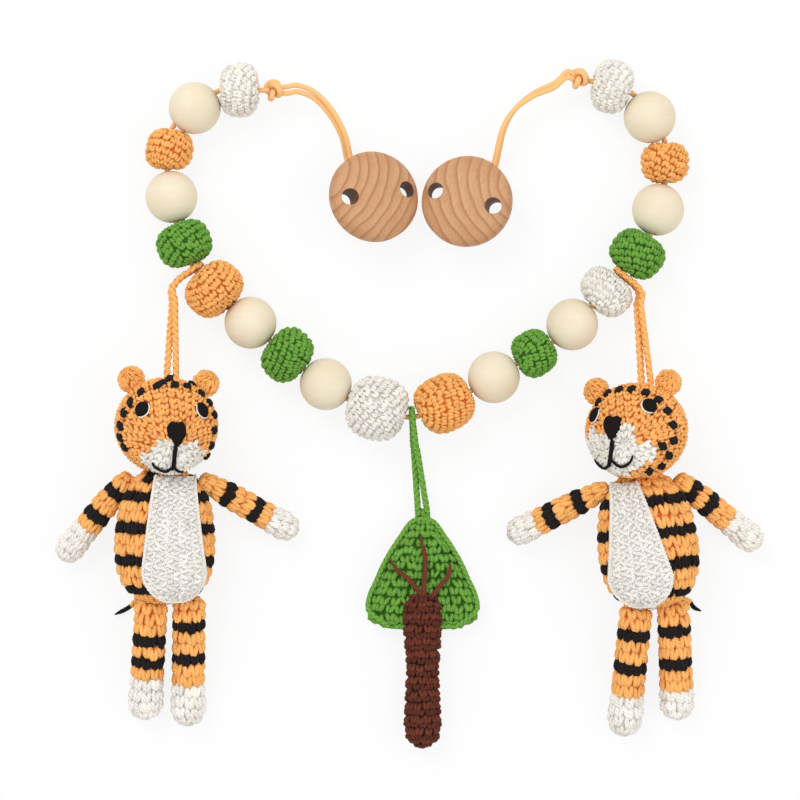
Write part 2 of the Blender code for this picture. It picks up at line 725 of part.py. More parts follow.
def clip_frame(sign, pose):
    """A clip's own frame, from the middle of the disc's back, before the clip is let down."""
    meeting = Vector((HANG_X + CLIPS_ACROSS, HANG_Y + CLIPS_UP, 0))
    middle = meeting + heading(CLIPS_HEADING, sign * CLIPS_SPACING / 2)
    lean = heading(pose["tilt_heading"] + 90)
    tilt = Matrix.Rotation(math.radians(pose["tilt"]), 4, lean)
    across = Matrix.Rotation(math.radians(pose["heading"] - 90), 4, "Z")
    return Matrix.Translation(middle) @ tilt @ across @ Matrix.Translation((0, 0, -DISC_THICKNESS / 2))


def make_clip(side, sign, pose, across):
    """One wooden clip, made in its own frame and let down until it touches the table."""
    frame = clip_frame(sign, pose)
    name = f"{side}_clip"
    pieces = {
        "disc": make_disc(f"{name}_disc", frame), "plate": make_plate(f"{name}_plate", frame),
        "rivet": make_rivet(f"{name}_rivet", frame), "pin": make_pin(f"{name}_pin", frame),
        "lever": make_lever(f"{name}_lever", frame),
    }
    helpers = [modifier.object for piece in pieces.values() for modifier in piece.modifiers]
    lowest = min((piece.matrix_world @ Vector(corner)).z for piece in pieces.values()
                 for corner in [vertex.co for vertex in piece.data.vertices])
    raise_by = Matrix.Translation((0, 0, -lowest))
    for thing in [*pieces.values(), *helpers]:
        thing.data.transform(raise_by)
    frame = raise_by @ frame
    swing = pivot(f"{name}_swing", frame @ (eye_point() + Vector((across, 0, 0))))
    hinge = pivot(f"{name}_hinge", pin_frame(frame).translation, swing)
    carry(swing, *(pieces[piece] for piece in ("disc", "plate", "rivet", "pin")))
    carry(hinge, pieces["lever"])
    return frame


# The tigers


def oval(start, end, count):
    """Shares from the start to the end of a rounded form, closer together at its ends."""
    turn = np.linspace(math.radians(start), math.radians(end), count)
    return (1 - np.cos(turn)) / 2


class TigerFrame:
    """Where one tiger lies: its head's middle, its long axis and the turn of its head."""

    def __init__(self, hang, pose):
        self.pose = pose
        self.hang = hang
        self.down = heading(pose["body"])
        self.across = heading(pose["body"] + 90)
        turn = Matrix.Rotation(math.radians(pose["turn"]), 4, "Y")
        nod = Matrix.Rotation(math.radians(-pose["nod"]), 4, "X")
        self.face = Matrix.Rotation(math.radians(pose["roll"]), 4, "Z") @ turn @ nod
        radii = Vector((HEAD_WIDTH / 2, HEAD_HEIGHT / 2, HEAD_DEPTH / 2))
        rest = Vector([self.face[2][side] * radii[side] for side in range(3)]).length
        self.head = Vector((self.hang.x + pose["across"], self.hang.y - pose["drop"], rest))

    def on_face(self, x, y, z):
        """A point given from the middle of the head, as its face looks."""
        return self.head + self.face.to_3x3() @ Vector((x, y, z))

    def on_body(self, across, down, up):
        """A point given from the middle of the head along the body, and above the table."""
        level = self.head + self.across * across + self.down * down
        return Vector((level.x, level.y, up))


def head_shapes(name, tiger, grow, colour="orange"):
    """The head's ball and its muzzle, grown on all sides by the given amount."""
    skull = ball(
        name, tiger.head, (HEAD_WIDTH / 2 + grow, HEAD_HEIGHT / 2 + grow, HEAD_DEPTH / 2 + grow),
        tiger.face, colour, 20, 12,
    )
    muzzle = ball(
        f"{name}_muzzle", tiger.on_face(0, -MUZZLE_DROP, MUZZLE_FORWARD),
        (MUZZLE_WIDTH / 2 + grow, MUZZLE_HEIGHT / 2 + grow, MUZZLE_LENGTH / 2 + grow),
        tiger.face, "white", 16, 10,
    )
    return skull, muzzle


def surface_height(across, up):
    """Height of the head's ball above its middle plane, at a point of the face."""
    return HEAD_DEPTH / 2 * math.sqrt(1 - (2 * across / HEAD_WIDTH) ** 2 - (2 * up / HEAD_HEIGHT) ** 2)


def make_head(name, tiger):
    head, muzzle = head_shapes(f"{name}_head", tiger, 0)
    boolean(head, "UNION", muzzle)
    for side in (-1, 1):
        across, up = side * EYE_ACROSS, EYE_UP
        forward = surface_height(across, up)
        slope = Vector((across / HEAD_WIDTH**2, up / HEAD_HEIGHT**2, forward / HEAD_DEPTH**2)).normalized()
        lean = tiger.face @ Vector((0, 0, 1)).rotation_difference(slope).to_matrix().to_4x4()
        eye = ball(
            f"{name}_eye", tiger.on_face(across, up, forward),
            (EYE_DIAMETER / 2, EYE_DIAMETER / 2, EYE_HEIGHT / 2), lean, segments=10, rings=6,
        )
        boolean(head, "UNION", eye)
    front = MUZZLE_FORWARD + MUZZLE_LENGTH / 2 * math.sqrt(1 - (2 * (NOSE_DROP - MUZZLE_DROP) / MUZZLE_HEIGHT) ** 2)
    nose = ball(
        f"{name}_nose", tiger.on_face(0, -NOSE_DROP, front - NOSE_THICKNESS / 4),
        (NOSE_WIDTH / 2, NOSE_HEIGHT / 2, NOSE_THICKNESS / 2), tiger.face, segments=10, rings=6,
    )
    boolean(head, "UNION", nose)
    return head


def make_ear(name, tiger, side):
    """A round crocheted disc, cut where the head takes its room."""
    angle = math.radians(EAR_HEADING)
    edge = 1 / math.hypot(math.cos(angle) / (HEAD_WIDTH / 2), math.sin(angle) / (HEAD_HEIGHT / 2))
    reach = edge + EAR_STAND
    centre = tiger.on_face(side * reach * math.cos(angle), reach * math.sin(angle), 0)
    ear = ball(
        name, centre, (EAR_DIAMETER / 2, EAR_DIAMETER / 2, EAR_THICKNESS / 2), tiger.face, "orange", 12, 8
    )
    skull, muzzle = head_shapes(f"{name}_room", tiger, GAP)
    bpy.data.objects.remove(muzzle)
    boolean(ear, "DIFFERENCE", skull)
    return ear


def body_half_width(share):
    """Half the body's width at a share of its length."""
    return BODY_WIDTH / 2 * float(np.interp(share, BODY_SHARES, BODY_WIDTH_SHARES))


def body_shape(name, tiger, grow, colour="orange", rings=12, sides=20):
    """The body's stuffed oval, grown on all sides by the given amount."""
    shares = oval(8, 172, rings)
    inner = BODY_LENGTH + 2 * grow
    centres = [tiger.on_body(0, NECK_DROP - grow + inner * share, BODY_DEPTH / 2) for share in shares]
    widths = [body_half_width(share) + grow for share in shares]
    depths = [body_half_width(share) * BODY_DEPTH / BODY_WIDTH + grow for share in shares]
    return lofted(name, centres, tiger.across, (0, 0, 1), widths, depths, sides, colour)


def make_body(name, tiger):
    """The body is hollowed where the neck and the shoulders turn, and for each leg's rounded top."""
    body = body_shape(name, tiger, 0)
    for shape in head_shapes(f"{name}_neck", tiger, 2 * GAP):
        boolean(body, "DIFFERENCE", shape)
    for side, towards in zip((-1, 1), tiger.pose["arms"]):
        socket = (ARM_ROOT / 2 + GAP,) * 3
        boolean(body, "DIFFERENCE", arm_shape(f"{name}_arm", tiger, side, towards, GAP))
        boolean(body, "DIFFERENCE", ball(f"{name}_shoulder", shoulder_place(tiger, side), socket))
    for side, towards in zip((-1, 1), tiger.pose["legs"]):
        boolean(body, "DIFFERENCE", hip_room(f"{name}_hip", tiger, side, towards))
    return body


def hip_room(name, tiger, side, towards):
    """A cylinder round a leg's hinge, a gap larger than the leg's rounded top."""
    lying = Matrix.Rotation(math.radians(towards + 90), 4, "Z") @ Matrix.Rotation(math.radians(90), 4, "Y")
    half = LEG_ROOT_WIDTH / 2 + GAP
    place = Matrix.Translation(hip_place(tiger, side)) @ lying
    return rod(name, LEG_ROOT + 2 * GAP, -half, half, place, 20)


def make_patch(name, tiger):
    """The pale belly patch: a skin over the body's front, inside a long rounded outline."""
    patch = body_shape(name, tiger, GAP + PATCH_THICKNESS, "white")
    boolean(patch, "DIFFERENCE", body_shape(f"{name}_under", tiger, GAP))
    top, wide, narrow = NECK_DROP + PATCH_DROP, PATCH_WIDTH / 2, PATCH_TOP_WIDTH / 2
    bottom = top + PATCH_LENGTH
    outline = [(-narrow, top), (narrow, top)]
    for step in range(9):
        angle = math.radians(-10 + 200 / 8 * step)
        outline.append((wide * math.cos(angle), bottom - wide + wide * math.sin(angle)))
    aside = tiger.pose["patch"]
    outline = [(across + aside, down) for across, down in outline]
    along = Matrix((
        (tiger.across.x, tiger.down.x, 0, tiger.head.x), (tiger.across.y, tiger.down.y, 0, tiger.head.y),
        (0, 0, 1, BODY_DEPTH), (0, 0, 0, 1),
    ))
    keep = extruded(f"{name}_outline", outline, BODY_DEPTH, along)
    boolean(patch, "INTERSECT", keep)
    for shape in head_shapes(f"{name}_neck", tiger, 3 * GAP):
        boolean(patch, "DIFFERENCE", shape)
    for side, towards in zip((-1, 1), tiger.pose["legs"]):
        boolean(patch, "DIFFERENCE", hip_room(f"{name}_hip", tiger, side, towards))
    return patch


def body_edge(share, side):
    """A point on the body's outline, from the head's middle, and the outward direction there."""
    step = 0.001
    point = Vector((side * body_half_width(share), NECK_DROP + BODY_LENGTH * share))
    after = Vector((side * body_half_width(share + step), NECK_DROP + BODY_LENGTH * (share + step)))
    run = (after - point).normalized()
    return point, Vector((run.y, -run.x)) * side


def limb_widths(shares, root, middle, end):
    """Half widths along a limb that swells from its root and ends in a round paw."""
    swell = np.interp(shares, (0, 0.28, 0.62, 0.86, 1), (root, middle, middle, end, end)) / 2
    return swell


def make_limb(name, start, end, root, middle, tip, root_width, colour="orange", sides=10):
    """A stuffed limb from its root's middle to its tip, flat at the root and round at the tip."""
    run = end - start
    along = run.normalized()
    level = Vector((0, 0, 1)).cross(along).normalized()
    upward = along.cross(level)
    shares = np.concatenate([[0], np.linspace(0.08, 0.84, 6)])
    widths = limb_widths(shares, root_width, middle, tip)
    depths = limb_widths(shares, root, middle, tip)
    centres = [start + run * share for share in shares]
    first = [(-math.cos(a), math.sin(a)) for a in np.radians((8, 35, 62))]
    last = [(math.sin(a), math.cos(a)) for a in np.radians((28, 54, 80))]
    cap = tip / 2
    crown = root / 2
    centres = [start + along * crown * back for back, _ in first] + centres
    centres += [end - along * cap + along * cap * out for out, _ in last]
    widths = np.concatenate([[root_width / 2 - crown * (1 - rise) for _, rise in first], widths,
                             [cap * fall for _, fall in last]])
    depths = np.concatenate([[crown * rise for _, rise in first], depths, [cap * fall for _, fall in last]])
    return lofted(name, centres, level, upward, widths, depths, sides, colour)


def shoulder_place(tiger, side):
    return tiger.on_body(side * SHOULDER_SPACING / 2, SHOULDER_DROP, BODY_DEPTH / 2)


def arm_shape(name, tiger, side, towards, grow):
    """An arm from its ball at the shoulder to the paw, grown on all sides by the given amount."""
    start = shoulder_place(tiger, side)
    end = start + heading(towards, ARM_LENGTH)
    end.z = PAW_DIAMETER / 2
    more = 2 * grow
    return make_limb(name, start, end, ARM_ROOT + more, ARM_DIAMETER + more, PAW_DIAMETER + more, ARM_ROOT + more)


def make_arm(name, tiger, side, towards, base):
    """An arm hinged at the shoulder, where its ball lies in the body's hollow."""
    start = shoulder_place(tiger, side)
    shoulder = pivot(f"{name}_shoulder", start, base)
    carry(shoulder, arm_shape(name, tiger, side, towards, 0))


def hip_place(tiger, side):
    """The middle of a leg's hinge, let into the body's lower edge."""
    across = side * LEG_SPACING / 2 + tiger.pose["hips"]
    down = NECK_DROP + BODY_LENGTH * leg_share(across) + LEG_ROOT * HIP_SHARE
    return tiger.on_body(across, down, BODY_DEPTH / 2)


def make_leg(name, tiger, side, towards, length, base):
    """A leg hinged along the seam where its rounded top meets the body."""
    start = hip_place(tiger, side)
    end = start + heading(towards, length)
    end.z = FOOT_DIAMETER / 2
    leg = make_limb(name, start, end, LEG_ROOT, LEG_DIAMETER, FOOT_DIAMETER, LEG_ROOT_WIDTH)
    hip = pivot(f"{name}_hip", start, base)
    carry(hip, leg)


def leg_share(across):
    """The share of the body's length where its outline is this far across, low down."""
    shares = np.linspace(0.6, 1, 400)
    widths = np.array([body_half_width(share) for share in shares])
    return float(shares[np.argmin(np.abs(widths - abs(across)))])


def make_tail(name, tiger, base):
    side = tiger.pose["tail"]
    point, outward = body_edge(TAIL_SHARE, side)
    under = math.radians(TAIL_UNDER)
    reach = TAIL_DIAMETER / 2 + GAP - TAIL_INSET
    across = (point.x + outward.x * reach) * math.cos(under)
    lower = (abs(point.x) * BODY_DEPTH / BODY_WIDTH + reach) * math.sin(under)
    start = tiger.on_body(across, point.y + outward.y * reach, BODY_DEPTH / 2 - lower)
    end = start + (tiger.across * side * 2 + tiger.down).normalized() * TAIL_LENGTH
    end.z = TAIL_DIAMETER / 2
    run = (end - start).normalized()
    level = Vector((0, 0, 1)).cross(run).normalized()
    shares = np.array([0, 0.25, 0.5, 0.75, 0.95, 1.0])
    radii = TAIL_DIAMETER / 2 * np.array([1, 1, 0.9, 0.75, 0.4, 0.15])
    caps = [(-math.cos(a), math.sin(a)) for a in np.radians((15, 50))]
    centres = [start + run * TAIL_DIAMETER / 2 * back for back, _ in caps]
    centres += [start + (end - start) * share for share in shares]
    radii = np.concatenate([[TAIL_DIAMETER / 2 * rise for _, rise in caps], radii])
    tail = lofted(name, centres, level, run.cross(level), radii, radii, 8, "orange")
    root = pivot(f"{name}_root", start, base)
    carry(root, tail)


def make_tiger(name, between, bead, pose):
    tiger = TigerFrame(between[bead], pose)
    swing = pivot(f"{name}_swing", tiger.hang)
    neck = pivot(f"{name}_neck", tiger.head, swing)
    ears = [make_ear(f"{name}_{side}_ear", tiger, sign) for side, sign in (("left", -1), ("right", 1))]
    carry(swing, make_head(name, tiger), *ears)
    carry(neck, make_body(f"{name}_body", tiger), make_patch(f"{name}_belly_patch", tiger))
    for place, (side, sign) in enumerate((("left", -1), ("right", 1))):
        make_arm(f"{name}_{side}_arm", tiger, sign, pose["arms"][place], neck)
        length = pose["leg_lengths"][place]
        make_leg(f"{name}_{side}_leg", tiger, sign, pose["legs"][place], length, neck)
    make_tail(f"{name}_tail", tiger, neck)
    top = tiger.head + Vector((pose["loop"], HEAD_HEIGHT / 2 + YARN_LOOP_DIAMETER / 4, 0))
    make_yarn_loop(f"{name}_loop", tiger.hang, bead, top)


# The tree


def make_tree(hang):
    tip = Vector((hang.x + CROWN_ACROSS, hang.y - CROWN_DROP, CROWN_THICKNESS / 2))
    shares = oval(12, 168, 9)
    widths = CROWN_WIDTH / 2 * np.interp(shares, CROWN_SHARES, CROWN_WIDTH_SHARES)
    depths = CROWN_THICKNESS / 2 * np.interp(shares, (0, 0.08, 0.92, 1), (0.4, 1, 1, 0.4))
    centres = [tip - Vector((0, CROWN_HEIGHT * share, 0)) for share in shares]
    crown = lofted("tree_crown", centres, (1, 0, 0), (0, 0, 1), widths, depths, 16, "green", 3)
    boolean(crown, "DIFFERENCE", trunk_shape("tree_crown_room", hang, GAP))
    trunk = trunk_shape("tree_trunk", hang, 0)
    top = Vector((hang.x + CROWN_ACROSS, hang.y - TRUNK_TOP_DROP, 0))
    for number, (towards, (across, length, bow)) in enumerate(zip(BRANCH_HEADINGS, BRANCH_SHARES)):
        start = top + Vector((across * TRUNK_TOP_DIAMETER, 0, 0))
        branch = make_branch(f"tree_branch_{number}", start, length * CROWN_HEIGHT, towards, bow)
        boolean(trunk, "UNION", branch)
    swing = pivot("tree_swing", hang)
    carry(swing, crown, trunk)
    ends = tip + Vector((0, YARN_LOOP_DIAMETER / 4, 0))
    make_yarn_loop("tree_loop", hang, TREE_BEAD, ends)


def make_branch(name, top, length, towards, bow):
    """A thin branch that starts in the trunk and lies just over the crown."""
    radius = BRANCH_DIAMETER / 2
    level = CROWN_THICKNESS + GAP + radius
    side = heading(towards + 90)
    shares = np.linspace(0, 1, BRANCH_STEPS)
    start = top + Vector((0, -BRANCH_OVERLAP, level))
    run = heading(towards, length) + Vector((0, BRANCH_OVERLAP, 0))
    centres = [start + run * share + side * (length * bow * 4 * share * (1 - share)) for share in shares]
    radii = radius * np.interp(shares, (0, 0.7, 1), (1, 0.85, 0.3))
    return lofted(name, centres, side, (0, 0, 1), radii, radii, 6, "brown")


def trunk_shape(name, hang, grow):
    top = Vector((hang.x + CROWN_ACROSS, hang.y - TRUNK_TOP_DROP + grow, TRUNK_TOP_DIAMETER / 2))
    shares = oval(14, 166, 10)
    across = np.interp(shares, TRUNK_SHARES, TRUNK_WIDTHS) / 2 + grow
    centres = [top - Vector((0, (TRUNK_LENGTH + 2 * grow) * share, 0)) for share in shares]
    return lofted(name, centres, (1, 0, 0), (0, 0, 1), across, across, 14, "brown")


# The cords that hang free


def looped(trunk, start_offset, end_offset, beyond):
    """Two strands along a trunk and a bend round its last point: they start apart by one offset and
    its opposite, reach the other offset at the end, and the bend passes on its far side."""
    run = np.concatenate([[0], np.cumsum([(b - a).length for a, b in zip(trunk, trunk[1:])])])
    shares = run / run[-1]
    offsets = [start_offset * (1 - share) + end_offset * share for share in shares]
    bend = []
    for step in range(1, LOOP_BEND_STEPS):
        angle = math.pi * step / LOOP_BEND_STEPS
        bend.append(trunk[-1] + end_offset * math.cos(angle) + beyond * (end_offset.length * math.sin(angle)))
    out = [point + offset for point, offset in zip(trunk, offsets)]
    back = [point - offset for point, offset in zip(trunk, offsets)]
    return out + bend + back[::-1]


def make_yarn_loop(name, hang, bead, end):
    """A yarn loop from a pendant's top, up past the shoulder of a bead and round the cord."""
    along = heading(bead_step(bead))
    fall = (Vector((end.x, end.y, 0)) - Vector((hang.x, hang.y, 0))).normalized()
    out = Vector((along.y, -along.x, 0))
    if out.dot(fall) < 0:
        out = -out
    slant = fall.dot(along)
    beside = bead + 1 if slant > 0 else bead
    clear = BEADS[beside - 1][1] / 2 + YARN_LOOP_DIAMETER / 2 + 2 * GAP
    trunk = [end + Vector((0, 0, 0))]
    last = hang + out * clear + along * (clear * slant * 0.66)
    last.z = hang.z + (end.z - hang.z) * 0.4
    trunk += [end.lerp(last, 0.35), end.lerp(last, 0.7), last]
    for outward, aside, fallen in ((0.90, 0.33, 0.25), (0.78, 0.12, 0.12), (0.5, 0.0, 0.0), (0.0, 0.0, 0.0)):
        point = hang + out * (clear * outward) + along * (clear * slant * aside)
        point.z = hang.z + (end.z - hang.z) * fallen
        trunk.append(point)
    bend = CORD_DIAMETER / 2 + YARN_LOOP_DIAMETER / 2 + 1.5 * GAP
    route = looped(
        trunk, Vector((YARN_LOOP_SPACING / 2, 0, 0)), Vector((0, 0, bend)), -out
    )
    colour = "green" if bead == TREE_BEAD else "orange"
    tube(name, smooth_route(route, YARN_LOOP_DIAMETER * 3), YARN_LOOP_DIAMETER, colour)


def make_loop_cord(name, knot, out, frame, across, points):
    """The elastic loop from a knot, by the given places, round the bar of a clip's eye."""
    bar = frame @ (eye_point() + Vector((across, 0, 0)))
    ahead, front = frame.to_3x3() @ Vector((0, 1, 0)), frame.to_3x3() @ Vector((0, 0, 1))
    start = knot + out * LOOP_START
    trunk = [start] + [Vector(point) for point in points] + [bar + ahead * LOOP_LEAD, bar + ahead * (LOOP_LEAD / 2), bar]
    side = Vector((-out.y, out.x, 0)) * (CORD_DIAMETER / 2 + GAP)
    bend = front * (EYE_BAR / 2 + CORD_DIAMETER / 2 + 2 * GAP)
    route = looped(trunk, side, bend, -ahead)
    tube(name, smooth_route(route, CORD_DIAMETER * 3), CORD_DIAMETER, "elastic")


def main():
    clear_scene()
    places, between = make_beads()
    left, right = knot_places(places)
    frame = make_clip("left", -1, LEFT_CLIP, LEFT_LOOP_ACROSS)
    make_loop_cord("left_loop_cord", left, heading(AXES[0] + 180), frame, LEFT_LOOP_ACROSS, LEFT_LOOP_PLACES)
    frame = make_clip("right", 1, RIGHT_CLIP, RIGHT_LOOP_ACROSS)
    make_loop_cord("right_loop_cord", right, heading(AXES[-1]), frame, RIGHT_LOOP_ACROSS, RIGHT_LOOP_PLACES)
    make_tiger("left_tiger", between, LEFT_TIGER_BEAD, LEFT_TIGER)
    make_tiger("right_tiger", between, RIGHT_TIGER_BEAD, RIGHT_TIGER)
    make_tree(between[TREE_BEAD])


main()
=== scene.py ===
import json
import math

import bpy
import numpy as np
from mathutils import Matrix


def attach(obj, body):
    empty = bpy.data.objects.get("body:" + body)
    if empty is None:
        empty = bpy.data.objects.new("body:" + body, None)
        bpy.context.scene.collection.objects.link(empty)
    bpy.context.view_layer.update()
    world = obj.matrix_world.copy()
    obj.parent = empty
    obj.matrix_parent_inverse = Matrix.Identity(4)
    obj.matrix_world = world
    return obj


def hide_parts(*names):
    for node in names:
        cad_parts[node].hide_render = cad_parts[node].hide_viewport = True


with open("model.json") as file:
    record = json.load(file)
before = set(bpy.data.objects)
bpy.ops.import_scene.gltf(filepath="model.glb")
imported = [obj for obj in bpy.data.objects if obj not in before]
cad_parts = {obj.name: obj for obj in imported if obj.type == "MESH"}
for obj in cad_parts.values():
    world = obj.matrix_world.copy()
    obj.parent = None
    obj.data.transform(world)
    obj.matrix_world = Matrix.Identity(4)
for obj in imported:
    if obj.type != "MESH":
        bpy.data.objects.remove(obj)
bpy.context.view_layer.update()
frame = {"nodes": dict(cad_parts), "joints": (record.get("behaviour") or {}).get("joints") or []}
joints = {joint["name"]: joint for joint in frame["joints"]}
mm = 0.001
full = 2 * math.pi
up = np.array([0, 0, 1.0])
rng = np.random.default_rng(11)  # every random draw of the yarn comes from here

# Looks straight down on the toy, from the distance at which the photograph's frame is filled
camera = {"x": -3.75 * mm, "y": 1.40 * mm, "z": 1166 * mm, "lens": 135, "sensor": 36, "pixels": 800}


def unit(v):
    return v / np.maximum(np.linalg.norm(v, axis=-1, keepdims=True), 1e-12)


def heading(degrees, length=1.0):
    # a level direction, counted from +X towards +Y
    return np.array([math.cos(math.radians(degrees)), math.sin(math.radians(degrees)), 0]) * length


def turned(degrees, axis):
    # Rodrigues: R = I + sin(a) K + (1 - cos(a)) K K, where K v = axis x v
    x, y, z = axis
    cross = np.array([[0, -z, y], [z, 0, -x], [-y, x, 0]], float)
    angle = math.radians(degrees)
    return np.eye(3) + math.sin(angle) * cross + (1 - math.cos(angle)) * cross @ cross


def signedPower(value, power):
    return np.sign(value) * np.abs(value) ** power


def smoothRoute(points, perSpan=6):
    # Catmull-Rom: b + (c-a)t/2 + (a-5b/2+2c-d/2)t^2 + (3(b-c)/2+(d-a)/2)t^3 between b and c
    p = np.asarray(points, float)
    p = np.vstack([2 * p[0] - p[1], p, 2 * p[-1] - p[-2]])
    a, b, c, d = (p[k:len(p) - 3 + k, None] for k in range(4))
    t = (np.arange(perSpan) / perSpan)[None, :, None]
    spans = b + (c - a) * t / 2 + (a - 2.5 * b + 2 * c - d / 2) * t**2 + (1.5 * (b - c) + (d - a) / 2) * t**3
    return np.vstack([spans.reshape(-1, p.shape[1]), p[-2:-1]])


def runOf(path):
    # the length along a path up to each of its points
    return np.concatenate([[0], np.cumsum(np.linalg.norm(np.diff(path, axis=0), axis=1))])


def evenly(path, spacing):
    # the same path with points at equal steps of its length
    run = runOf(path)
    at = np.linspace(0, run[-1], max(3, round(run[-1] / spacing) + 1))
    return np.stack([np.interp(at, run, path[:, k]) for k in range(path.shape[1])], axis=1)


def pixelSize(level):
    # what one pixel of the photograph covers at a height
    return (camera["z"] - level) * camera["sensor"] / camera["lens"] / camera["pixels"]


def fromPixels(pixels, level):
    # the camera's ray through each pixel of the photograph, cut at a height
    pixels, step = np.asarray(pixels, float), pixelSize(level)
    x = camera["x"] + (pixels[..., 0] - camera["pixels"] / 2) * step
    y = camera["y"] - (pixels[..., 1] - camera["pixels"] / 2) * step
    return np.stack([x, y, np.broadcast_to(level, x.shape)], axis=-1)


def toPixels(points):
    # where the camera sees points, in the photograph's pixels
    step = pixelSize(points[..., 2])
    return np.stack([camera["pixels"] / 2 + (points[..., 0] - camera["x"]) / step,
                     camera["pixels"] / 2 - (points[..., 1] - camera["y"]) / step], axis=-1)


def ontoSurface(pixels, outside, low, high=45 * mm, halvings=30):
    # where each pixel's ray meets a surface: the height is halved in on from outside and inside
    pixels = np.asarray(pixels, float)
    low, high = np.full(pixels.shape[:-1], float(low)), np.full(pixels.shape[:-1], float(high))
    for _ in range(halvings):
        middle = (low + high) / 2
        out = outside(fromPixels(pixels, middle)) > 0
        low, high = np.where(out, low, middle), np.where(out, middle, high)
    return fromPixels(pixels, high)


def rgb(red, green, blue):
    # a colour as a screen shows it, 0 to 255, in the linear values that a shader takes
    value = np.array([red, green, blue]) / 255
    return np.where(value > 0.04045, ((value + 0.055) / 1.055) ** 2.4, value / 12.92)


yarnColours = {  # the lit colour on top of a strand, then a darker colour painted as shade in its creases
    "orange": (rgb(254, 189, 110), rgb(216, 112, 44)), "green": (rgb(116, 172, 69), rgb(50, 98, 23)),
    "white": (rgb(243, 239, 231), rgb(229, 224, 214)), "brown": (rgb(114, 58, 42), rgb(58, 25, 16)),
    "black": (rgb(34, 29, 28), rgb(13, 11, 10)), "elastic": (rgb(252, 196, 126), rgb(222, 140, 68)),
}
yarnColours = {name: np.concatenate(pair) for name, pair in yarnColours.items()}


print("scene: camera")


def makeCamera():
    data = bpy.data.cameras.new("camera")
    data.lens, data.sensor_width = camera["lens"], camera["sensor"]
    obj = bpy.data.objects.new("camera", data)
    obj.location = (camera["x"], camera["y"], camera["z"])
    bpy.context.scene.collection.objects.link(obj)
    bpy.context.scene.camera = obj


makeCamera()

print("scene: finishes")


class Wire:
    # a socket of a finish: + - * / on it add Math nodes

    def __init__(self, finish, socket):
        self.finish, self.socket = finish, socket

    def math(self, operation, first, second=0.0):
        return self.finish.node("ShaderNodeMath", {"operation": operation}, {0: first, 1: second})

    def __add__(self, other):
        return self.math("ADD", self, other)

    def __sub__(self, other):
        return self.math("SUBTRACT", self, other)

    def __rsub__(self, other):
        return self.math("SUBTRACT", other, self)

    def __mul__(self, other):
        return self.math("MULTIPLY", self, other)

    def __truediv__(self, other):
        return self.math("DIVIDE", self, other)

    __radd__, __rmul__ = __add__, __mul__

    def sine(self):
        return self.math("SINE", self)

    def above(self, edge, soft):
        # 0 below the edge and 1 above it, smoothly over a width
        return self.finish.node(
            "ShaderNodeMapRange", {"interpolation_type": "SMOOTHSTEP"},
            {"Value": self, "From Min": edge - soft / 2, "From Max": edge + soft / 2},
        )


class Finish:
    # a material: what is the same all over is set on the shader, the rest comes from nodes

    def __init__(self, name, constants):
        self.material = bpy.data.materials.new(name)
        self.material.use_nodes = True
        tree = self.material.node_tree
        self.nodes, self.links = tree.nodes, tree.links
        self.shader = tree.nodes["Principled BSDF"]
        for socket, value in constants.items():
            self.shader.inputs[socket].default_value = value

    def node(self, kind, settings=None, sockets=None, out=0):
        made = self.nodes.new(kind)
        for key, value in (settings or {}).items():
            if key == "stops":
                ramp = made.color_ramp.elements
                while len(ramp) < len(value):
                    ramp.new(0.5)
                for stop, (place, colour) in zip(ramp, value):
                    stop.position, stop.color = place, (*colour, 1)
            else:
                setattr(made, key, value)
        for key, value in (sockets or {}).items():
            if isinstance(value, Wire):
                self.links.new(value.socket, made.inputs[key])
            else:
                made.inputs[key].default_value = value
        return Wire(self, made.outputs[out])

    def mixed(self, factor, first, second):
        return self.node("ShaderNodeMix", {"data_type": "RGBA"}, {0: factor, 6: first, 7: second}, 2)

    def toned(self, base, factor, colour):
        # another colour, from 0 to 255, laid over the base
        return self.mixed(factor, base, (*rgb(*colour), 1))

    def vector(self, operation, first, second, out=0):
        return self.node("ShaderNodeVectorMath", {"operation": operation}, {0: first, 1: second}, out)

    def scaled(self, colour, factor):
        return self.node("ShaderNodeVectorMath", {"operation": "SCALE"}, {0: colour, "Scale": factor})

    def distance(self, place, scale, centre):
        # how far a place lies from a centre, with each axis counted at its own scale
        return self.vector("DISTANCE", self.vector("MULTIPLY", place, scale), centre, 1)

    def mapped(self, place, settings=None, **sockets):
        return self.node("ShaderNodeMapping", settings, {"Vector": place, **sockets})

    def noise(self, place, scale, detail=2.0, roughness=0.5):
        sockets = {"Vector": place, "Scale": scale, "Detail": detail, "Roughness": roughness}
        return self.node("ShaderNodeTexNoise", None, sockets)

    def place(self):
        return self.node("ShaderNodeTexCoord", out=3)

    def strand(self):
        # how far along the strand in millimetres, and how far round it from 0 to 1
        layer = self.node("ShaderNodeUVMap", {"uv_map": "strand"})
        return tuple(self.node("ShaderNodeSeparateXYZ", {}, {0: layer}, k) for k in range(2))

    def bumped(self, height, distance, strength=1.0):
        sockets = {"Height": height, "Distance": distance, "Strength": strength}
        self.feed(Normal=self.node("ShaderNodeBump", None, sockets))

    def feed(self, **wires):
        for socket, wire in wires.items():
            self.links.new(wire.socket, self.shader.inputs[socket.replace("_", " ")])


cotton = {"plies": 3, "lay": 1.3, "fuzz": 2600, "patches": 160, "tone": 0.88, "plyTone": 0.085,
          "fuzzTone": 0.14, "patchTone": 0.12, "plyHeight": 0.8, "fuzzHeight": 0.9}
cover = {"ridges": 7, "lay": 0.9, "tone": 0.97, "ridgeTone": 0.05, "ridgeHeight": 0.5}


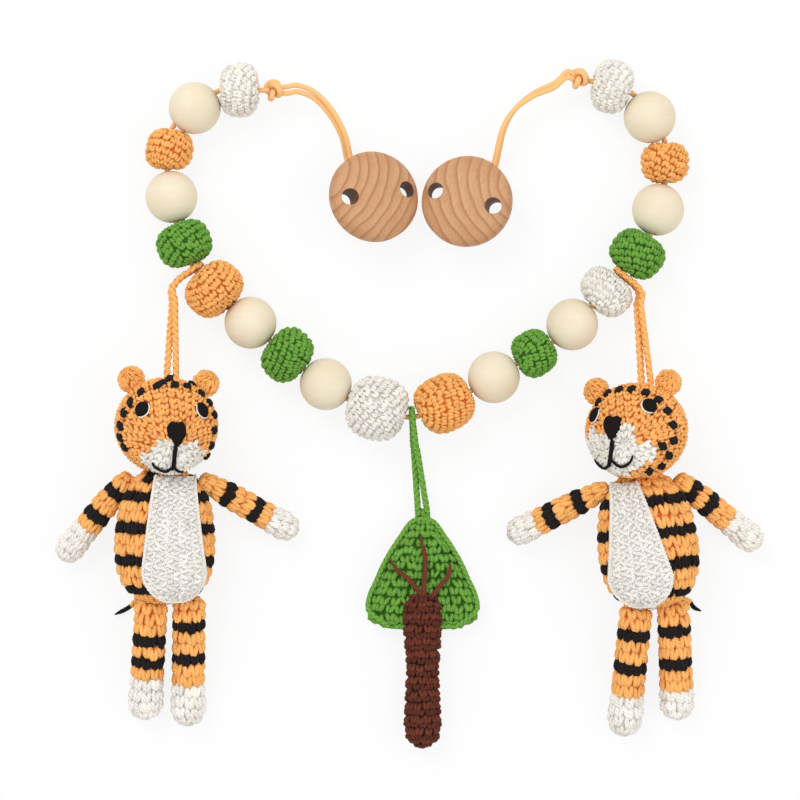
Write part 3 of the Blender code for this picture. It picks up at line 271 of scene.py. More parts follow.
def makeYarn():
    # cotton: the plies are sin(2 pi (plies round + along / lay)), with fine fuzz over them; the plies darken
    # the colour in the grooves between them as painted shade, and fuzz and patches vary its tone at random
    yarn = Finish("cottonYarn", {"Roughness": 0.92, "Sheen Weight": 0.05, "Sheen Roughness": 0.5,
                                 "Specular IOR Level": 0.12})
    along, around = yarn.strand()
    ply = ((around * cotton["plies"] + along / cotton["lay"]) * full).sine()
    fuzz = yarn.noise(yarn.place(), cotton["fuzz"], 3, 0.6)
    patches = yarn.noise(yarn.place(), cotton["patches"], 2)
    colour = yarn.node("ShaderNodeAttribute", {"attribute_name": "yarnColour"})
    shade = cotton["tone"] + ply * cotton["plyTone"] + fuzz * cotton["fuzzTone"] + patches * cotton["patchTone"]
    yarn.feed(Base_Color=yarn.scaled(colour, shade))
    yarn.bumped(ply * cotton["plyHeight"] + fuzz * cotton["fuzzHeight"], 0.14 * mm, 0.7)
    return yarn


def makeElastic():
    # braided cover: two crossed sets of fine ridges, sin(2 pi (ridges round + and - along / lay)); the colour
    # is darker between the ridges as painted shade
    elastic = Finish("elasticCover", {"Roughness": 0.6, "Sheen Weight": 0.1})
    along, around = elastic.strand()
    around, along = around * cover["ridges"], along / cover["lay"]
    ridges = ((around + along) * full).sine() + ((around - along) * full).sine()
    colour = elastic.node("ShaderNodeAttribute", {"attribute_name": "yarnColour"})
    elastic.feed(Base_Color=elastic.scaled(colour, cover["tone"] + ridges * cover["ridgeTone"]))
    elastic.bumped(ridges * cover["ridgeHeight"], 0.08 * mm, 0.5)
    return elastic


yarn, elastic = makeYarn(), makeElastic()

print("scene: ways of making a mesh")

# A lump is a dictionary: points, colours of the points, faces by number of corners, and strands,
# which hold how far along and round each corner lies


def outward(lump):
    # the volume inside is the sum of a . (b x c) / 6 over the faces; where it is negative they are turned
    p = lump["points"]
    volume = 0
    for faces in lump["faces"]:
        for k in range(1, faces.shape[1] - 1):
            a, b, c = p[faces[:, 0]], p[faces[:, k]], p[faces[:, k + 1]]
            volume += float((a * np.cross(b, c)).sum())
    if volume < 0:
        lump["faces"] = [faces[:, ::-1] for faces in lump["faces"]]
        lump["strands"] = [strand[:, ::-1] for strand in lump["strands"]]
    return lump


def faceGrid(rows, columns, along, closedRows=False):
    # a grid whose columns run round: the corners of its faces and of its two ends, and where on the strand
    # each corner of a face lies
    i, j = np.meshgrid(np.arange(rows if closedRows else rows - 1), np.arange(columns), indexing="ij")
    i2, j2 = (i + 1) % rows, (j + 1) % columns
    quads = np.stack([i * columns + j, i * columns + j2, i2 * columns + j2, i2 * columns + j], axis=-1)
    ends = np.stack([np.arange(columns)[::-1], (rows - 1) * columns + np.arange(columns)])
    near, far, left, right = along[i], along[i + 1], j / columns, (j + 1) / columns
    strands = np.stack([near, left, near, right, far, right, far, left], axis=-1)
    return quads.reshape(-1, 4), ends, strands.reshape(-1, 4, 2)


def gridLump(grid, colours, closedRows=False):
    # point (i, j) of a grid whose columns run round; its two ends are capped unless its rows close too
    middle = grid.mean(axis=1)
    along = runOf(np.vstack([middle, middle[:1]])) / mm
    quads, ends, strand = faceGrid(*grid.shape[:2], along, closedRows)
    faces, strands = [quads], [strand]
    if not closedRows:
        faces.append(ends)
        strands.append(np.zeros((*ends.shape, 2)))
    tint = np.broadcast_to(colours, grid.shape).reshape(-1, 3)
    return outward({"points": grid.reshape(-1, 3), "colours": tint, "faces": faces, "strands": strands})


def joined(lumps):
    start, faces, strands = 0, {}, {}
    for lump in lumps:
        for face, strand in zip(lump["faces"], lump["strands"]):
            faces.setdefault(face.shape[1], []).append(face + start)
            strands.setdefault(face.shape[1], []).append(strand)
        start += len(lump["points"])
    return {
        "points": np.concatenate([lump["points"] for lump in lumps]),
        "colours": np.concatenate([lump["colours"] for lump in lumps]),
        "faces": [np.concatenate(found) for found in faces.values()],
        "strands": [np.concatenate(found) for found in strands.values()],
    }


def makePiece(name, lumps, finish, body, nodes=()):
    lump = joined(lumps)
    mesh = bpy.data.meshes.new(name)
    mesh.vertices.add(len(lump["points"]))
    mesh.vertices.foreach_set("co", lump["points"].astype(np.float32).ravel())
    sizes = np.concatenate([np.full(len(faces), faces.shape[1]) for faces in lump["faces"]])
    mesh.loops.add(int(sizes.sum()))
    mesh.loops.foreach_set("vertex_index", np.concatenate([f.ravel() for f in lump["faces"]]).astype(np.int32))
    mesh.polygons.add(len(sizes))
    mesh.polygons.foreach_set("loop_start", np.concatenate([[0], np.cumsum(sizes)[:-1]]).astype(np.int32))
    mesh.polygons.foreach_set("use_smooth", np.ones(len(sizes), bool))
    layer = mesh.uv_layers.new(name="strand")
    layer.data.foreach_set("uv", np.concatenate([s.ravel() for s in lump["strands"]]).astype(np.float32))
    tint = mesh.color_attributes.new("yarnColour", "FLOAT_COLOR", "POINT")
    rgba = np.column_stack([lump["colours"], np.ones(len(lump["points"]))])
    tint.data.foreach_set("color", rgba.astype(np.float32).ravel())
    mesh.update(calc_edges=True)
    mesh.validate()
    mesh.materials.append(finish.material)
    obj = bpy.data.objects.new(name, mesh)
    bpy.context.scene.collection.objects.link(obj)
    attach(obj, body)
    if nodes:
        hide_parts(*nodes)
    return obj


def blended(colours, top):
    # top times a yarn's lit upper colour, and the rest of its crease colour, which is painted shade
    return colours[..., :3] * top + colours[..., 3:] * (1 - top)


def carried(path):
    # tangents of a path, and normals carried along it without twist
    tangents = unit(np.gradient(path, axis=0))
    normal = np.cross(tangents[0], up if abs(tangents[0][2]) < 0.9 else (1, 0, 0))
    normals = []
    for tangent in tangents:
        normal = unit(normal - tangent * (normal @ tangent))
        normals.append(normal)
    return tangents, np.array(normals)


def ringsRound(path, radius, first, second, sides):
    # centre + radius (cos(a) first + sin(a) second), with a from 0 to 2 pi round each point
    angle = (np.arange(sides) * full / sides)[None, :, None]
    radius = np.broadcast_to(radius, len(path))[:, None, None]
    return path[:, None] + radius * (np.cos(angle) * first[:, None] + np.sin(angle) * second[:, None])


def creased(grid, core, colours, start, over):
    # painted shade: the darker crease colour close to the core, and the lit upper colour from some share of the
    # reach on
    far = np.linalg.norm(grid - core, axis=-1, keepdims=True)
    return blended(colours, np.clip((far / far.max() - start) / over, 0, 1))


def tubeLump(path, radius, colours, sides=10, core=None):
    # rings carried along a path; what lies close to the core line has the crease colour, painted as shade
    tangents, normals = carried(path)
    grid = ringsRound(path, radius, normals, np.cross(tangents, normals), sides)
    return gridLump(grid, colours[:3] if core is None else creased(grid, core[:, None], colours, 0.25, 0.5))


def roundEnded(count, thin=0.25):
    # 1 along a stroke and less towards both its ends
    share = np.linspace(-1, 1, count)
    return np.maximum(1 - np.abs(share) ** 8, thin**2) ** 0.5


print("scene: crochet")

# One stitch is a V of two plump legs, whose tip lies over the round before it. Along each leg: how far
# it is from the V's middle in stitch widths, how far along the work in rounds, how thick and how high it lies
leg = {"rings": 6, "sides": 5, "halfWidth": 0.235, "halfHeight": 0.85 * mm, "narrowest": 0.4, "widest": 1.2,
       "sink": 1.25, "bright": 1.18}
legShare = np.array([0, 0.13, 0.34, 0.6, 0.84, 1.0])
legAcross = 0.07 + 0.31 * legShare ** 0.9
legAlong = -0.86 + 1.46 * legShare
legSwell = np.array([0.5, 0.9, 1.1, 1.1, 0.95, 0.6])
legLift = np.array([0.25, 0.85, 1.0, 0.88, 0.66, 0.3])
uneven = {"along": 0.07, "around": 0.06, "size": 0.09, "lean": 0.09, "shade": 0.05}
# the skin's tone darkens its crease colour further, as painted shade in the gaps between stitches
skin = {"rows": 60, "columns": 56, "inset": 0.06, "steady": 0.2, "reach": 0.01, "depth": 1.5, "tone": 0.9}


def stitch(width, step, height=1.0, loose=1.0, short=1.0):
    # a piece's stitches: width and length in millimetres, how high and how unevenly they stand, and how much
    # of a full leg's length they have
    return {"width": width * mm, "step": step * mm, "height": height, "loose": loose, "short": short}


class Rounds:
    # a form's rounds of stitches: equal steps of its mean length, and equal stitches round each;
    # form(share, angle) gives the point at a share of the way from its start, at an angle round it

    shareSteps, angleSteps = 120, 144

    def __init__(self, form, width, step):
        self.form = form
        shares, angles = np.linspace(0, 1, self.shareSteps + 1), np.linspace(0, full, self.angleSteps + 1)
        grid = form(*np.meshgrid(shares, angles, indexing="ij"))
        run = np.concatenate([[0], np.cumsum(np.linalg.norm(np.diff(grid, axis=0), axis=2).mean(axis=1))])
        self.rows = max(3, round(run[-1] / step))
        self.rowShares = np.interp(np.linspace(0, run[-1], 2 * self.shareSteps + 1), run, shares)
        arcs = np.linalg.norm(np.diff(grid, axis=1), axis=2) + 1e-9
        arcs = np.concatenate([np.zeros((len(shares), 1)), np.cumsum(arcs, axis=1)], axis=1)
        even = np.linspace(0, 1, self.angleSteps + 1)
        self.angles = np.stack([np.interp(even, arc / arc[-1], angles) for arc in arcs])
        girths = np.interp((np.arange(self.rows) + 0.5) / self.rows * run[-1], run, arcs[:, -1])
        self.counts = np.maximum(5, np.round(girths / width)).astype(int)
        half = len(shares) // 2
        normal = np.cross(grid[half, 1] - grid[half, 0], grid[half + 1, 0] - grid[half, 0])
        self.sign = math.copysign(1, float(normal @ (grid[half, 0] - grid[half].mean(axis=0))))

    def place(self, along, around):
        # along counts rounds from the start, around counts whole turns
        fine = 2 * self.shareSteps
        share = np.interp(along / self.rows * fine, np.arange(fine + 1), self.rowShares)
        i = np.clip(share * self.shareSteps, 0, self.shareSteps - 0.001)
        j = (around % 1) * self.angleSteps
        i0, j0 = i.astype(int), np.minimum(j.astype(int), self.angleSteps - 1)
        fi, fj = i - i0, j - j0
        low = self.angles[i0, j0] * (1 - fj) + self.angles[i0, j0 + 1] * fj
        high = self.angles[i0 + 1, j0] * (1 - fj) + self.angles[i0 + 1, j0 + 1] * fj
        return self.form(share, low * (1 - fi) + high * fi)

    def stitches(self):
        # each stitch's round, its place round the form, and how many its round has; each round starts a
        # little further on than the one before
        row = np.repeat(np.arange(self.rows), self.counts)
        number = np.arange(len(row)) - np.repeat(np.cumsum(self.counts) - self.counts, self.counts)
        return row, (number + 0.1 * row) / self.counts[row], self.counts[row]


def normalsOf(place, along, around, reach, sign):
    # the cross product of the two tangents, by small differences
    across = place(along, around + reach) - place(along, around - reach)
    ahead = place(along + 0.1, around) - place(along - 0.1, around)
    return sign * unit(np.cross(across, ahead))


def legLump(place, along, around, counts, work, sign, colours, ahead=1):
    # each leg's centre line runs on the surface, sunk by its own height, with an oval carried along it;
    # ahead is 1 for a V that opens along the work and -1 for one that opens backwards
    n, loose, width = len(along), work["loose"], work["width"]
    along = along + rng.normal(0, uneven["along"] * loose, n)
    around = around + rng.normal(0, uneven["around"] * loose, n) / counts
    size = 1 + rng.normal(0, uneven["size"], (n, 2))
    lean = rng.normal(0, uneven["lean"] * loose, (n, 1, 1))
    shade = 1 + rng.normal(0, uneven["shade"], n)
    side, counts = np.array([-1, 1])[None, :, None], counts[:, None, None]
    lengthwise = np.broadcast_to(ahead * work["short"], n)[:, None, None]
    y = along[:, None, None] + lengthwise * legAlong + np.zeros((n, 2, 1))
    x = around[:, None, None] + (side * legAcross[None, None] + lean * legAlong[None, None]) / counts
    reach = 0.25 / counts
    path = place(y, x)
    normal = normalsOf(place, y, x, reach, sign)
    wide = np.linalg.norm(place(y, x + reach) - place(y, x - reach), axis=-1) * 2
    wide = np.clip(wide, leg["narrowest"] * width, leg["widest"] * width) * leg["halfWidth"] * legSwell \
        * size[:, :, None]
    run = unit(np.gradient(path, axis=2))
    normal = unit(normal - run * (normal * run).sum(-1, keepdims=True))
    across = np.cross(normal, run)
    high = leg["halfHeight"] * work["height"]
    centre = path - normal * (high * (1 + leg["sink"] * (1 - legLift)))[None, None, :, None]
    angle = np.arange(leg["sides"]) * full / leg["sides"] + math.pi / 2
    rings = centre[..., None, :] + across[..., None, :] * (wide[..., None, None] * np.cos(angle)[:, None]) \
        + normal[..., None, :] * (high * legSwell[:, None, None] * np.sin(angle)[:, None])
    # painted light and shade: each leg's upper side takes the yarn's lit colour, its lower side and its sunk
    # ends the darker crease colour
    top = (0.5 + 0.5 * np.sin(angle))[None] * legLift[:, None] ** 0.5
    top = np.clip(np.broadcast_to(top[None, None, :, :, None], rings.shape[:-1] + (1,)) * leg["bright"], 0, 1)
    tint = blended((colours * shade[:, None])[:, None, None, None], top)
    quads, ends, strand = faceGrid(leg["rings"], leg["sides"], legShare * width / mm)
    starts = (np.arange(2 * n) * leg["rings"] * leg["sides"])[:, None, None]
    offset = rng.uniform(0, 1, (2 * n, 1, 1, 2))
    return {
        "points": rings.reshape(-1, 3), "colours": tint.reshape(-1, 3),
        "faces": [(quads[None] + starts).reshape(-1, 4), (ends[None] + starts).reshape(-1, leg["sides"])],
        "strands": [(strand[None] + offset).reshape(-1, 4, 2), np.zeros((4 * n, leg["sides"], 2))],
    }


def coreLump(rounds, paint, depth):
    # the closed skin under the stitches: the form moved inwards along its normals, in the crease colour
    # darkened further as painted shade
    ends, steady = rounds.rows - skin["inset"], rounds.rows - skin["steady"]
    along, around = np.meshgrid(np.linspace(skin["inset"], ends, skin["rows"]),
                                np.arange(skin["columns"]) / skin["columns"], indexing="ij")
    points = rounds.place(along, around)
    within = np.clip(along, skin["steady"], steady)
    normals = normalsOf(rounds.place, within, around, skin["reach"], rounds.sign)
    colours = paint(points.reshape(-1, 3), along.astype(int).ravel())
    # painted shade: the skin takes the crease colour times the skin's tone
    return gridLump(points - normals * depth, colours[:, 3:].reshape(points.shape) * skin["tone"])


def plain(colour):
    # a paint function that gives the same colour everywhere
    return lambda points, row: np.broadcast_to(yarnColours[colour], (len(points), 6))


def crocheted(name, form, work, paint, body, nodes=(), hidden=None, core=None):
    # paint(points, round) gives the colours, and hidden(points) is true for what another piece covers
    rounds = Rounds(form, work["width"], work["step"])
    row, around, counts = rounds.stitches()
    middle = rounds.place(row + 0.25, around)
    colours = paint(middle, row)
    shown = np.ones(len(row), bool) if hidden is None else ~hidden(middle)
    row, around, counts, colours = row[shown], around[shown], counts[shown], colours[shown]
    stitches = legLump(rounds.place, row + 0.5, around, counts, work, rounds.sign, colours)
    if core is None:
        core = coreLump(rounds, paint, leg["halfHeight"] * work["height"] * skin["depth"])
    return makePiece(name, [core, stitches], yarn, body, nodes)


def aroundPole(pole, top, share, angle):
    # cos(p) pole + sin(p) (cos(a) top + sin(a) side), with p the share of a half turn
    polar = (math.pi * share)[..., None]
    side = np.cross(pole, top)
    turn = np.cos(angle)[..., None] * top + np.sin(angle)[..., None] * side
    return np.cos(polar) * pole + np.sin(polar) * turn


def loftForm(centres, widths, depths, sideways, upward, fullness=2.0):
    # centre + w sgn(cos)|cos|^(2/f) sideways + d sgn(sin)|sin|^(2/f) upward, smooth between the stations
    stations = smoothRoute(np.column_stack([centres, widths, depths]), 8)
    stations[:, 3:] = np.maximum(stations[:, 3:], 1e-6)
    run = runOf(stations[:, :4])
    run /= run[-1]

    def form(share, angle):
        x, y, z, wide, deep = (np.interp(share, run, column) for column in stations.T)
        across = (wide * signedPower(np.cos(angle), 2 / fullness))[..., None] * sideways
        above = (deep * signedPower(np.sin(angle), 2 / fullness))[..., None] * upward
        return np.stack([x, y, z], axis=-1) + across + above

    return form


print("scene: cords")

loops = {"yarn": 2.4 * mm, "yarnLook": 3.3 * mm, "yarnInside": 2.6 * mm, "yarnSpacing": 3.5 * mm,
         "elastic": 2.0 * mm, "start": 5 * mm, "lead": 6 * mm, "bendSteps": 4, "gap": 0.3 * mm,
         "inKnot": 1.2 * mm,
         # from the top of a pendant to the cord: how far out, how far aside and how far down
         "overShoulder": ((1.0, 0.66, 0.4), (0.90, 0.33, 0.25), (0.78, 0.12, 0.12), (0.5, 0, 0), (0, 0, 0))}
braid = {"step": 0.3 * mm, "lay": 1.2, "sideways": 0.26, "upwards": 0.15, "strand": 0.24, "sides": 7,
         "taperFrom": 0.6}
chainCord = {"straight": 0.8, "knotRadius": 2.75 * mm, "knotSwell": 1.23 * mm}
knot = {"radius": 2.15 * mm, "swell": 1.25 * mm, "rise": 1.45 * mm, "cord": 1.2 * mm, "tilt": 48, "steps": 180,
        "sides": 12}
beadSizes = {  # diameter and length
    "wood": (20.0 * mm, 20.0 * mm), "small": (18.8 * mm, 15.8 * mm), "medium": (21.4 * mm, 15.2 * mm),
    "full": (21.8 * mm, 16.8 * mm), "large": (24.0 * mm, 17.6 * mm), "paleCentre": (25.2 * mm, 22.8 * mm),
    "brightCentre": (22.6 * mm, 22.0 * mm),
}
beads = (
    ("white", "medium"), ("wood", "wood"), ("orange", "small"), ("wood", "wood"), ("green", "full"),
    ("orange", "large"), ("wood", "wood"), ("green", "full"), ("wood", "wood"), ("white", "paleCentre"),
    ("orange", "brightCentre"), ("wood", "wood"), ("green", "small"), ("wood", "wood"), ("white", "medium"),
    ("green", "full"), ("wood", "wood"), ("orange", "small"), ("wood", "wood"), ("white", "medium"),
)
clips = {
    "left": {"heading": 100, "tilt": 22, "tiltHeading": 28, "loopAcross": -4.2 * mm, "knotOut": 0, "places": (
        (-0.0430, 0.1213, 0.0107), (-0.0366, 0.1187, 0.0106), (-0.0303, 0.1121, 0.0103),
        (-0.0258, 0.1038, 0.0096),
    )},
    "right": {"heading": 74, "tilt": 14, "tiltHeading": 145, "loopAcross": 4.7 * mm, "knotOut": 165, "places": (
        (0.0557, 0.1226, 0.0107), (0.0478, 0.1191, 0.0106), (0.0406, 0.1135, 0.0103), (0.0361, 0.1058, 0.0096),
    )},
}
clipParts = {"pinAlong": -6.8 * mm, "pinDepth": 4.7 * mm, "eyeEnd": 14.2 * mm, "eyeBar": 1.8 * mm,
             "eyeDrop": 3.4 * mm, "sheet": 1.0 * mm}


def beadPlace(number):
    return np.array(joints[f"bead_{number:02d}_spin"]["pos_m"])


def beadAhead(number):
    return unit(np.array(joints[f"bead_{number:02d}_spin"]["axis"]))


def beadLength(number):
    return beadSizes[beads[number - 1][1]][1]


def cordThroughBeads():
    # straight inside each bore, with its turns in between, as far as the two knots
    reach = chainCord["knotRadius"] + chainCord["knotSwell"] + loops["elastic"] / 2
    knots = [beadPlace(1) - beadAhead(1) * (beadLength(1) / 2 + reach + 2 * loops["gap"]),
             beadPlace(20) + beadAhead(20) * (beadLength(20) / 2 + reach + 2 * loops["gap"])]
    route, between, behind = [knots[0] + beadAhead(1) * loops["inKnot"]], {}, None
    for number in range(1, 21):
        ahead = beadAhead(number)
        half = ahead * (beadLength(number) / 2 * chainCord["straight"])
        near, far = beadPlace(number) - half, beadPlace(number) + half
        if number > 1:
            free = np.linalg.norm(near - route[-1])
            between[number - 1] = (route[-1] + near) / 2 + (behind - ahead) * free / 8
            route.append(between[number - 1])
        route += [near, far]
        behind = ahead
    route.append(knots[1] - beadAhead(20) * loops["inKnot"])
    return knots, np.array(route), between


def looped(trunk, startOffset, endOffset, beyond):
    # two strands along a trunk, one offset and its opposite apart, and a half turn round its last point
    trunk = np.array(trunk)
    share = (runOf(trunk) / runOf(trunk)[-1])[:, None]
    offsets = startOffset * (1 - share) + endOffset * share
    angle = (math.pi * np.arange(1, loops["bendSteps"]) / loops["bendSteps"])[:, None]
    bend = trunk[-1] + endOffset * np.cos(angle) + beyond * np.linalg.norm(endOffset) * np.sin(angle)
    return np.vstack([trunk + offsets, bend, (trunk - offsets)[::-1]])


def clipFrame(side):
    # the clip's own axes, from its tilt and heading, and the middle of its disc's flat back
    clip = clips[side]
    lean = turned(clip["tilt"], heading(clip["tiltHeading"] + 90))
    axes = lean @ turned(clip["heading"] - 90, up)
    hinge = np.array(joints[f"{side}_clip_lever_open"]["pos_m"])
    return axes, hinge - axes @ np.array([0, clipParts["pinAlong"], -clipParts["pinDepth"]])


def elasticLoopRoute(side, knot):
    # from the knot by some places, over the bar of the clip's eye and back under it
    clip = clips[side]
    axes, origin = clipFrame(side)
    bar = origin + axes @ np.array([
        clip["loopAcross"], clipParts["eyeEnd"] - clipParts["eyeBar"] / 2,
        -loops["gap"] - clipParts["eyeDrop"] - clipParts["sheet"] / 2,
    ])
    ahead, front, out = axes[:, 1], axes[:, 2], heading(clip["knotOut"])
    trunk = [knot + out * loops["start"], *np.array(clip["places"]),
             bar + ahead * loops["lead"], bar + ahead * loops["lead"] / 2, bar]
    beside = np.array([-out[1], out[0], 0]) * (loops["elastic"] / 2 + loops["gap"])
    bend = front * (clipParts["eyeBar"] / 2 + loops["elastic"] / 2 + 2 * loops["gap"])
    route = looped(trunk, beside, bend, -ahead)
    inside = knot + out * loops["inKnot"]
    return smoothRoute(np.vstack([inside + beside / 2, route, inside - beside / 2]), 8)


def yarnLoopRoute(hang, bead, end):
    # from a pendant's top, up past the shoulder of a bead and round the cord
    run = beadAhead(bead) * beadLength(bead) + beadAhead(bead + 1) * beadLength(bead + 1)
    along = unit(run * (1, 1, 0))
    fall = unit((end - hang) * (1, 1, 0))
    out = np.array([along[1], -along[0], 0])
    out = out if out @ fall > 0 else -out
    slant = float(fall @ along)
    beside = beadSizes[beads[(bead + 1 if slant > 0 else bead) - 1][1]][0]
    clear = beside / 2 + loops["yarn"] / 2 + 2 * loops["gap"]
    points = []
    for outwards, aside, down in loops["overShoulder"]:
        point = hang + out * (clear * outwards) + along * (clear * slant * aside)
        point[2] = hang[2] + (end[2] - hang[2]) * down
        points.append(point)
    trunk = [end, end + (points[0] - end) * 0.35, end + (points[0] - end) * 0.7, *points]
    bend = (loops["elastic"] + loops["yarn"]) / 2 + 1.5 * loops["gap"]
    route = looped(trunk, np.array([loops["yarnSpacing"] / 2, 0, 0]), up * bend, -out)
    inside = np.array([0, loops["yarnInside"], 0])
    return smoothRoute(np.vstack([route[:1] - inside, route, route[-1:] - inside]), 8)


def braidLumps(path, width, colours, taper=1.0):
    # three strands: sideways a sin(p + 2 pi k / 3), upwards b sin(2 p + 4 pi k / 3), p along the path
    path = evenly(path, braid["step"])
    tangents, normals = carried(path)
    sideways = np.cross(tangents, normals)
    size = width * np.interp(np.linspace(0, 1, len(path)), (0, braid["taperFrom"], 1), (1, 1, taper))
    phase = np.cumsum(np.full(len(path), braid["step"])) / (braid["lay"] * width) * math.pi
    lumps = []
    for k in range(3):
        p = phase + full * k / 3
        centre = path + sideways * (braid["sideways"] * size * np.sin(p))[:, None] \
            + normals * (braid["upwards"] * size * np.sin(2 * p))[:, None]
        # each strand takes the darker crease colour, as painted shade, close to the braid's middle line
        lumps.append(tubeLump(centre, braid["strand"] * size, colours, braid["sides"], path))
    return lumps


def knotLump(middle, along):
    # a pulled trefoil: r = R + s cos(3t), turned by 2t, with height h sin(3t), tilted across the chain
    t = np.arange(knot["steps"]) * full / knot["steps"]
    r = knot["radius"] + knot["swell"] * np.cos(3 * t)
    path = np.stack([r * np.cos(2 * t), r * np.sin(2 * t), knot["rise"] * np.sin(3 * t)], axis=1)
    path = middle + path @ turned(knot["tilt"], np.cross(up, along)).T
    ahead = unit(np.roll(path, -1, axis=0) - np.roll(path, 1, axis=0))
    sideways = unit(np.cross(ahead, path - middle))
    grid = ringsRound(path, knot["cord"], np.cross(sideways, ahead), sideways, knot["sides"])
    # painted shade: the cord takes the darker crease colour towards the knot's middle
    return gridLump(grid, creased(grid, middle, yarnColours["elastic"], 0.35, 0.35), True)


def makeChainCords():
    knots, route, between = cordThroughBeads()

    def makeCord(name, route, node):
        tube = tubeLump(evenly(route, 0.5 * mm), loops["elastic"] / 2, yarnColours["elastic"], 12)
        return makePiece(name, [tube], elastic, "chain", [node])

    makeCord("beadCord", smoothRoute(route), "bead_cord")
    for side, middle, along in (("left", knots[0], beadAhead(1)), ("right", knots[1], beadAhead(20))):
        makePiece(f"{side}Knot", [knotLump(middle, along)], elastic, "chain", [f"{side}_knot"])
        loop = elasticLoopRoute(side, middle)
        makeCord(f"{side}LoopCord", loop, f"{side}_loop_cord")
    return between


between = makeChainCords()

print("scene: beads")

bead = {"bore": 4.6 * mm, "fullness": 2.6, "swell": 0.35 * mm, "work": stitch(3.1, 2.8, 1.0, 1.5, 0.7),
        "tilt": 0.45, "wobble": 0.3 * mm, "waves": 2.2, "drawnIn": 0.4, "coreDepth": 1.2 * mm, "coreTone": 0.85,
        "boreMargin": 0.5 * mm, "rows": 49, "sides": 64}
paleWood = {"base": (236, 225, 200), "grain": (228, 212, 182), "cloud": (226, 205, 168)}


def beadShell(number, grow=0.0):
    # a superellipse turned round the cord: l/2 sgn(cos)|cos|^(2/f) along it, d/2 |sin|^(2/f) out from it,
    # then back through the bore
    kind, size = beads[number - 1]
    diameter, length = (value / 2 + grow for value in beadSizes[size])
    power = 2 / (2.0 if kind == "wood" else bead["fullness"])
    centre, ahead = beadPlace(number), beadAhead(number)
    sideways = unit(np.cross(up, ahead))
    start = math.asin((bead["bore"] / 2 / diameter) ** (1 / power))
    a, angle = np.meshgrid(np.linspace(start, math.pi - start, bead["rows"]),
                           np.arange(bead["sides"]) * full / bead["sides"], indexing="ij")
    along = (length * signedPower(np.cos(a), power))[..., None] * ahead
    turn = np.cos(angle)[..., None] * sideways + np.sin(angle)[..., None] * up
    outside = centre + along + (diameter * np.sin(a) ** power)[..., None] * turn
    bore = centre + along + bead["bore"] / 2 * turn
    return np.concatenate([outside, bore[-2:0:-1]])


def yarnBeadForm(number):
    # the same superellipse as a reach in each direction, (|c/l|^f + |s/d|^f)^(-1/f), a little uneven, crocheted
    # round a pole that is askew to the cord
    diameter, length = (value / 2 for value in beadSizes[beads[number - 1][1]])
    centre, ahead, f = beadPlace(number), beadAhead(number), bead["fullness"]
    pole = unit(ahead + bead["tilt"] * unit(np.cross(ahead, rng.normal(size=3))))
    top = unit(np.cross(pole, (0.3, 0.2, 1)))
    waves, phases = rng.normal(0, bead["waves"], (3, 3)), rng.uniform(0, full, 3)

    def form(share, angle):
        direction = aroundPole(pole, top, share, angle)
        c = np.abs(direction @ ahead)
        s = np.sqrt(np.maximum(1 - c * c, 0))
        reach = ((c / (length + bead["swell"])) ** f + (s / diameter) ** f) ** (-1 / f)
        swells = sum(np.sin(direction @ wave + phase) for wave, phase in zip(waves, phases)) / 2
        return centre + direction * (reach + bead["wobble"] * (swells - bead["drawnIn"]))[..., None]

    return form


def makeWoodFinish():
    # pale turned wood: faint long grain, seen only as a slight change of tone
    wood = Finish("paleWood", {"Roughness": 0.62, "Specular IOR Level": 0.3})
    place = wood.place()
    grain = wood.noise(wood.mapped(place, Scale=(110, 800, 110)), 1.0, 4, 0.6)
    cloud = wood.noise(place, 60, 2)
    base = wood.toned((*rgb(*paleWood["base"]), 1), grain.above(0.55, 0.6) * 0.4, paleWood["grain"])
    wood.feed(Base_Color=wood.toned(base, cloud.above(0.58, 0.4) * 0.5, paleWood["cloud"]))
    wood.bumped(grain, 0.03 * mm, 0.3)
    return wood


def makeBeads():
    wood = makeWoodFinish()
    for number, (kind, _) in enumerate(beads, 1):
        if kind == "wood":
            name = f"bead_{number:02d}_wood"
            shell = gridLump(beadShell(number), rgb(*paleWood["base"]), True)
            makePiece(f"woodBead{number:02d}", [shell], wood, name, [name])
            continue
        name = f"bead_{number:02d}_{kind}_crochet"
        centre, ahead = beadPlace(number), beadAhead(number)
        # the core under the stitches takes the crease colour darkened further, as painted shade
        core = gridLump(beadShell(number, -bead["coreDepth"]), yarnColours[kind][3:] * bead["coreTone"], True)

        def inBore(points, centre=centre, ahead=ahead):
            off = np.linalg.norm(np.cross(points - centre, ahead), axis=-1)
            return off < bead["bore"] / 2 + bead["boreMargin"]

        crocheted(f"{kind}Bead{number:02d}", yarnBeadForm(number), bead["work"], plain(kind), name,
                  [name], inBore, core)


makeBeads()

print("scene: clips")

disc = {"radius": 17.5 * mm, "rim": 4.2 * mm, "thick": 10.8 * mm, "backRound": 1.8 * mm,
        "vent": 3.1 * mm, "ventApart": 11.7 * mm, "steps": 128, "tip": 0.02 * mm, "domePowers": (0.86, 0.9),
        "cut": (-5 * mm, 20 * mm), "cutSides": 48, "sharp": 40,
        "heart": {"left": (-31 * mm, 21 * mm, 0), "right": (32 * mm, 20 * mm, 0)},
        "fleckTurn": {"left": 25, "right": -25}}
beech = {"base": (206, 159, 117), "late": (187, 133, 91), "line": (162, 106, 66), "cloud": (190, 128, 84),
         "fleck": (170, 118, 78), "vent": (118, 66, 36), "tint": (215, 165, 120), "ring": 3.9 * mm,
         "waver": 2.2}


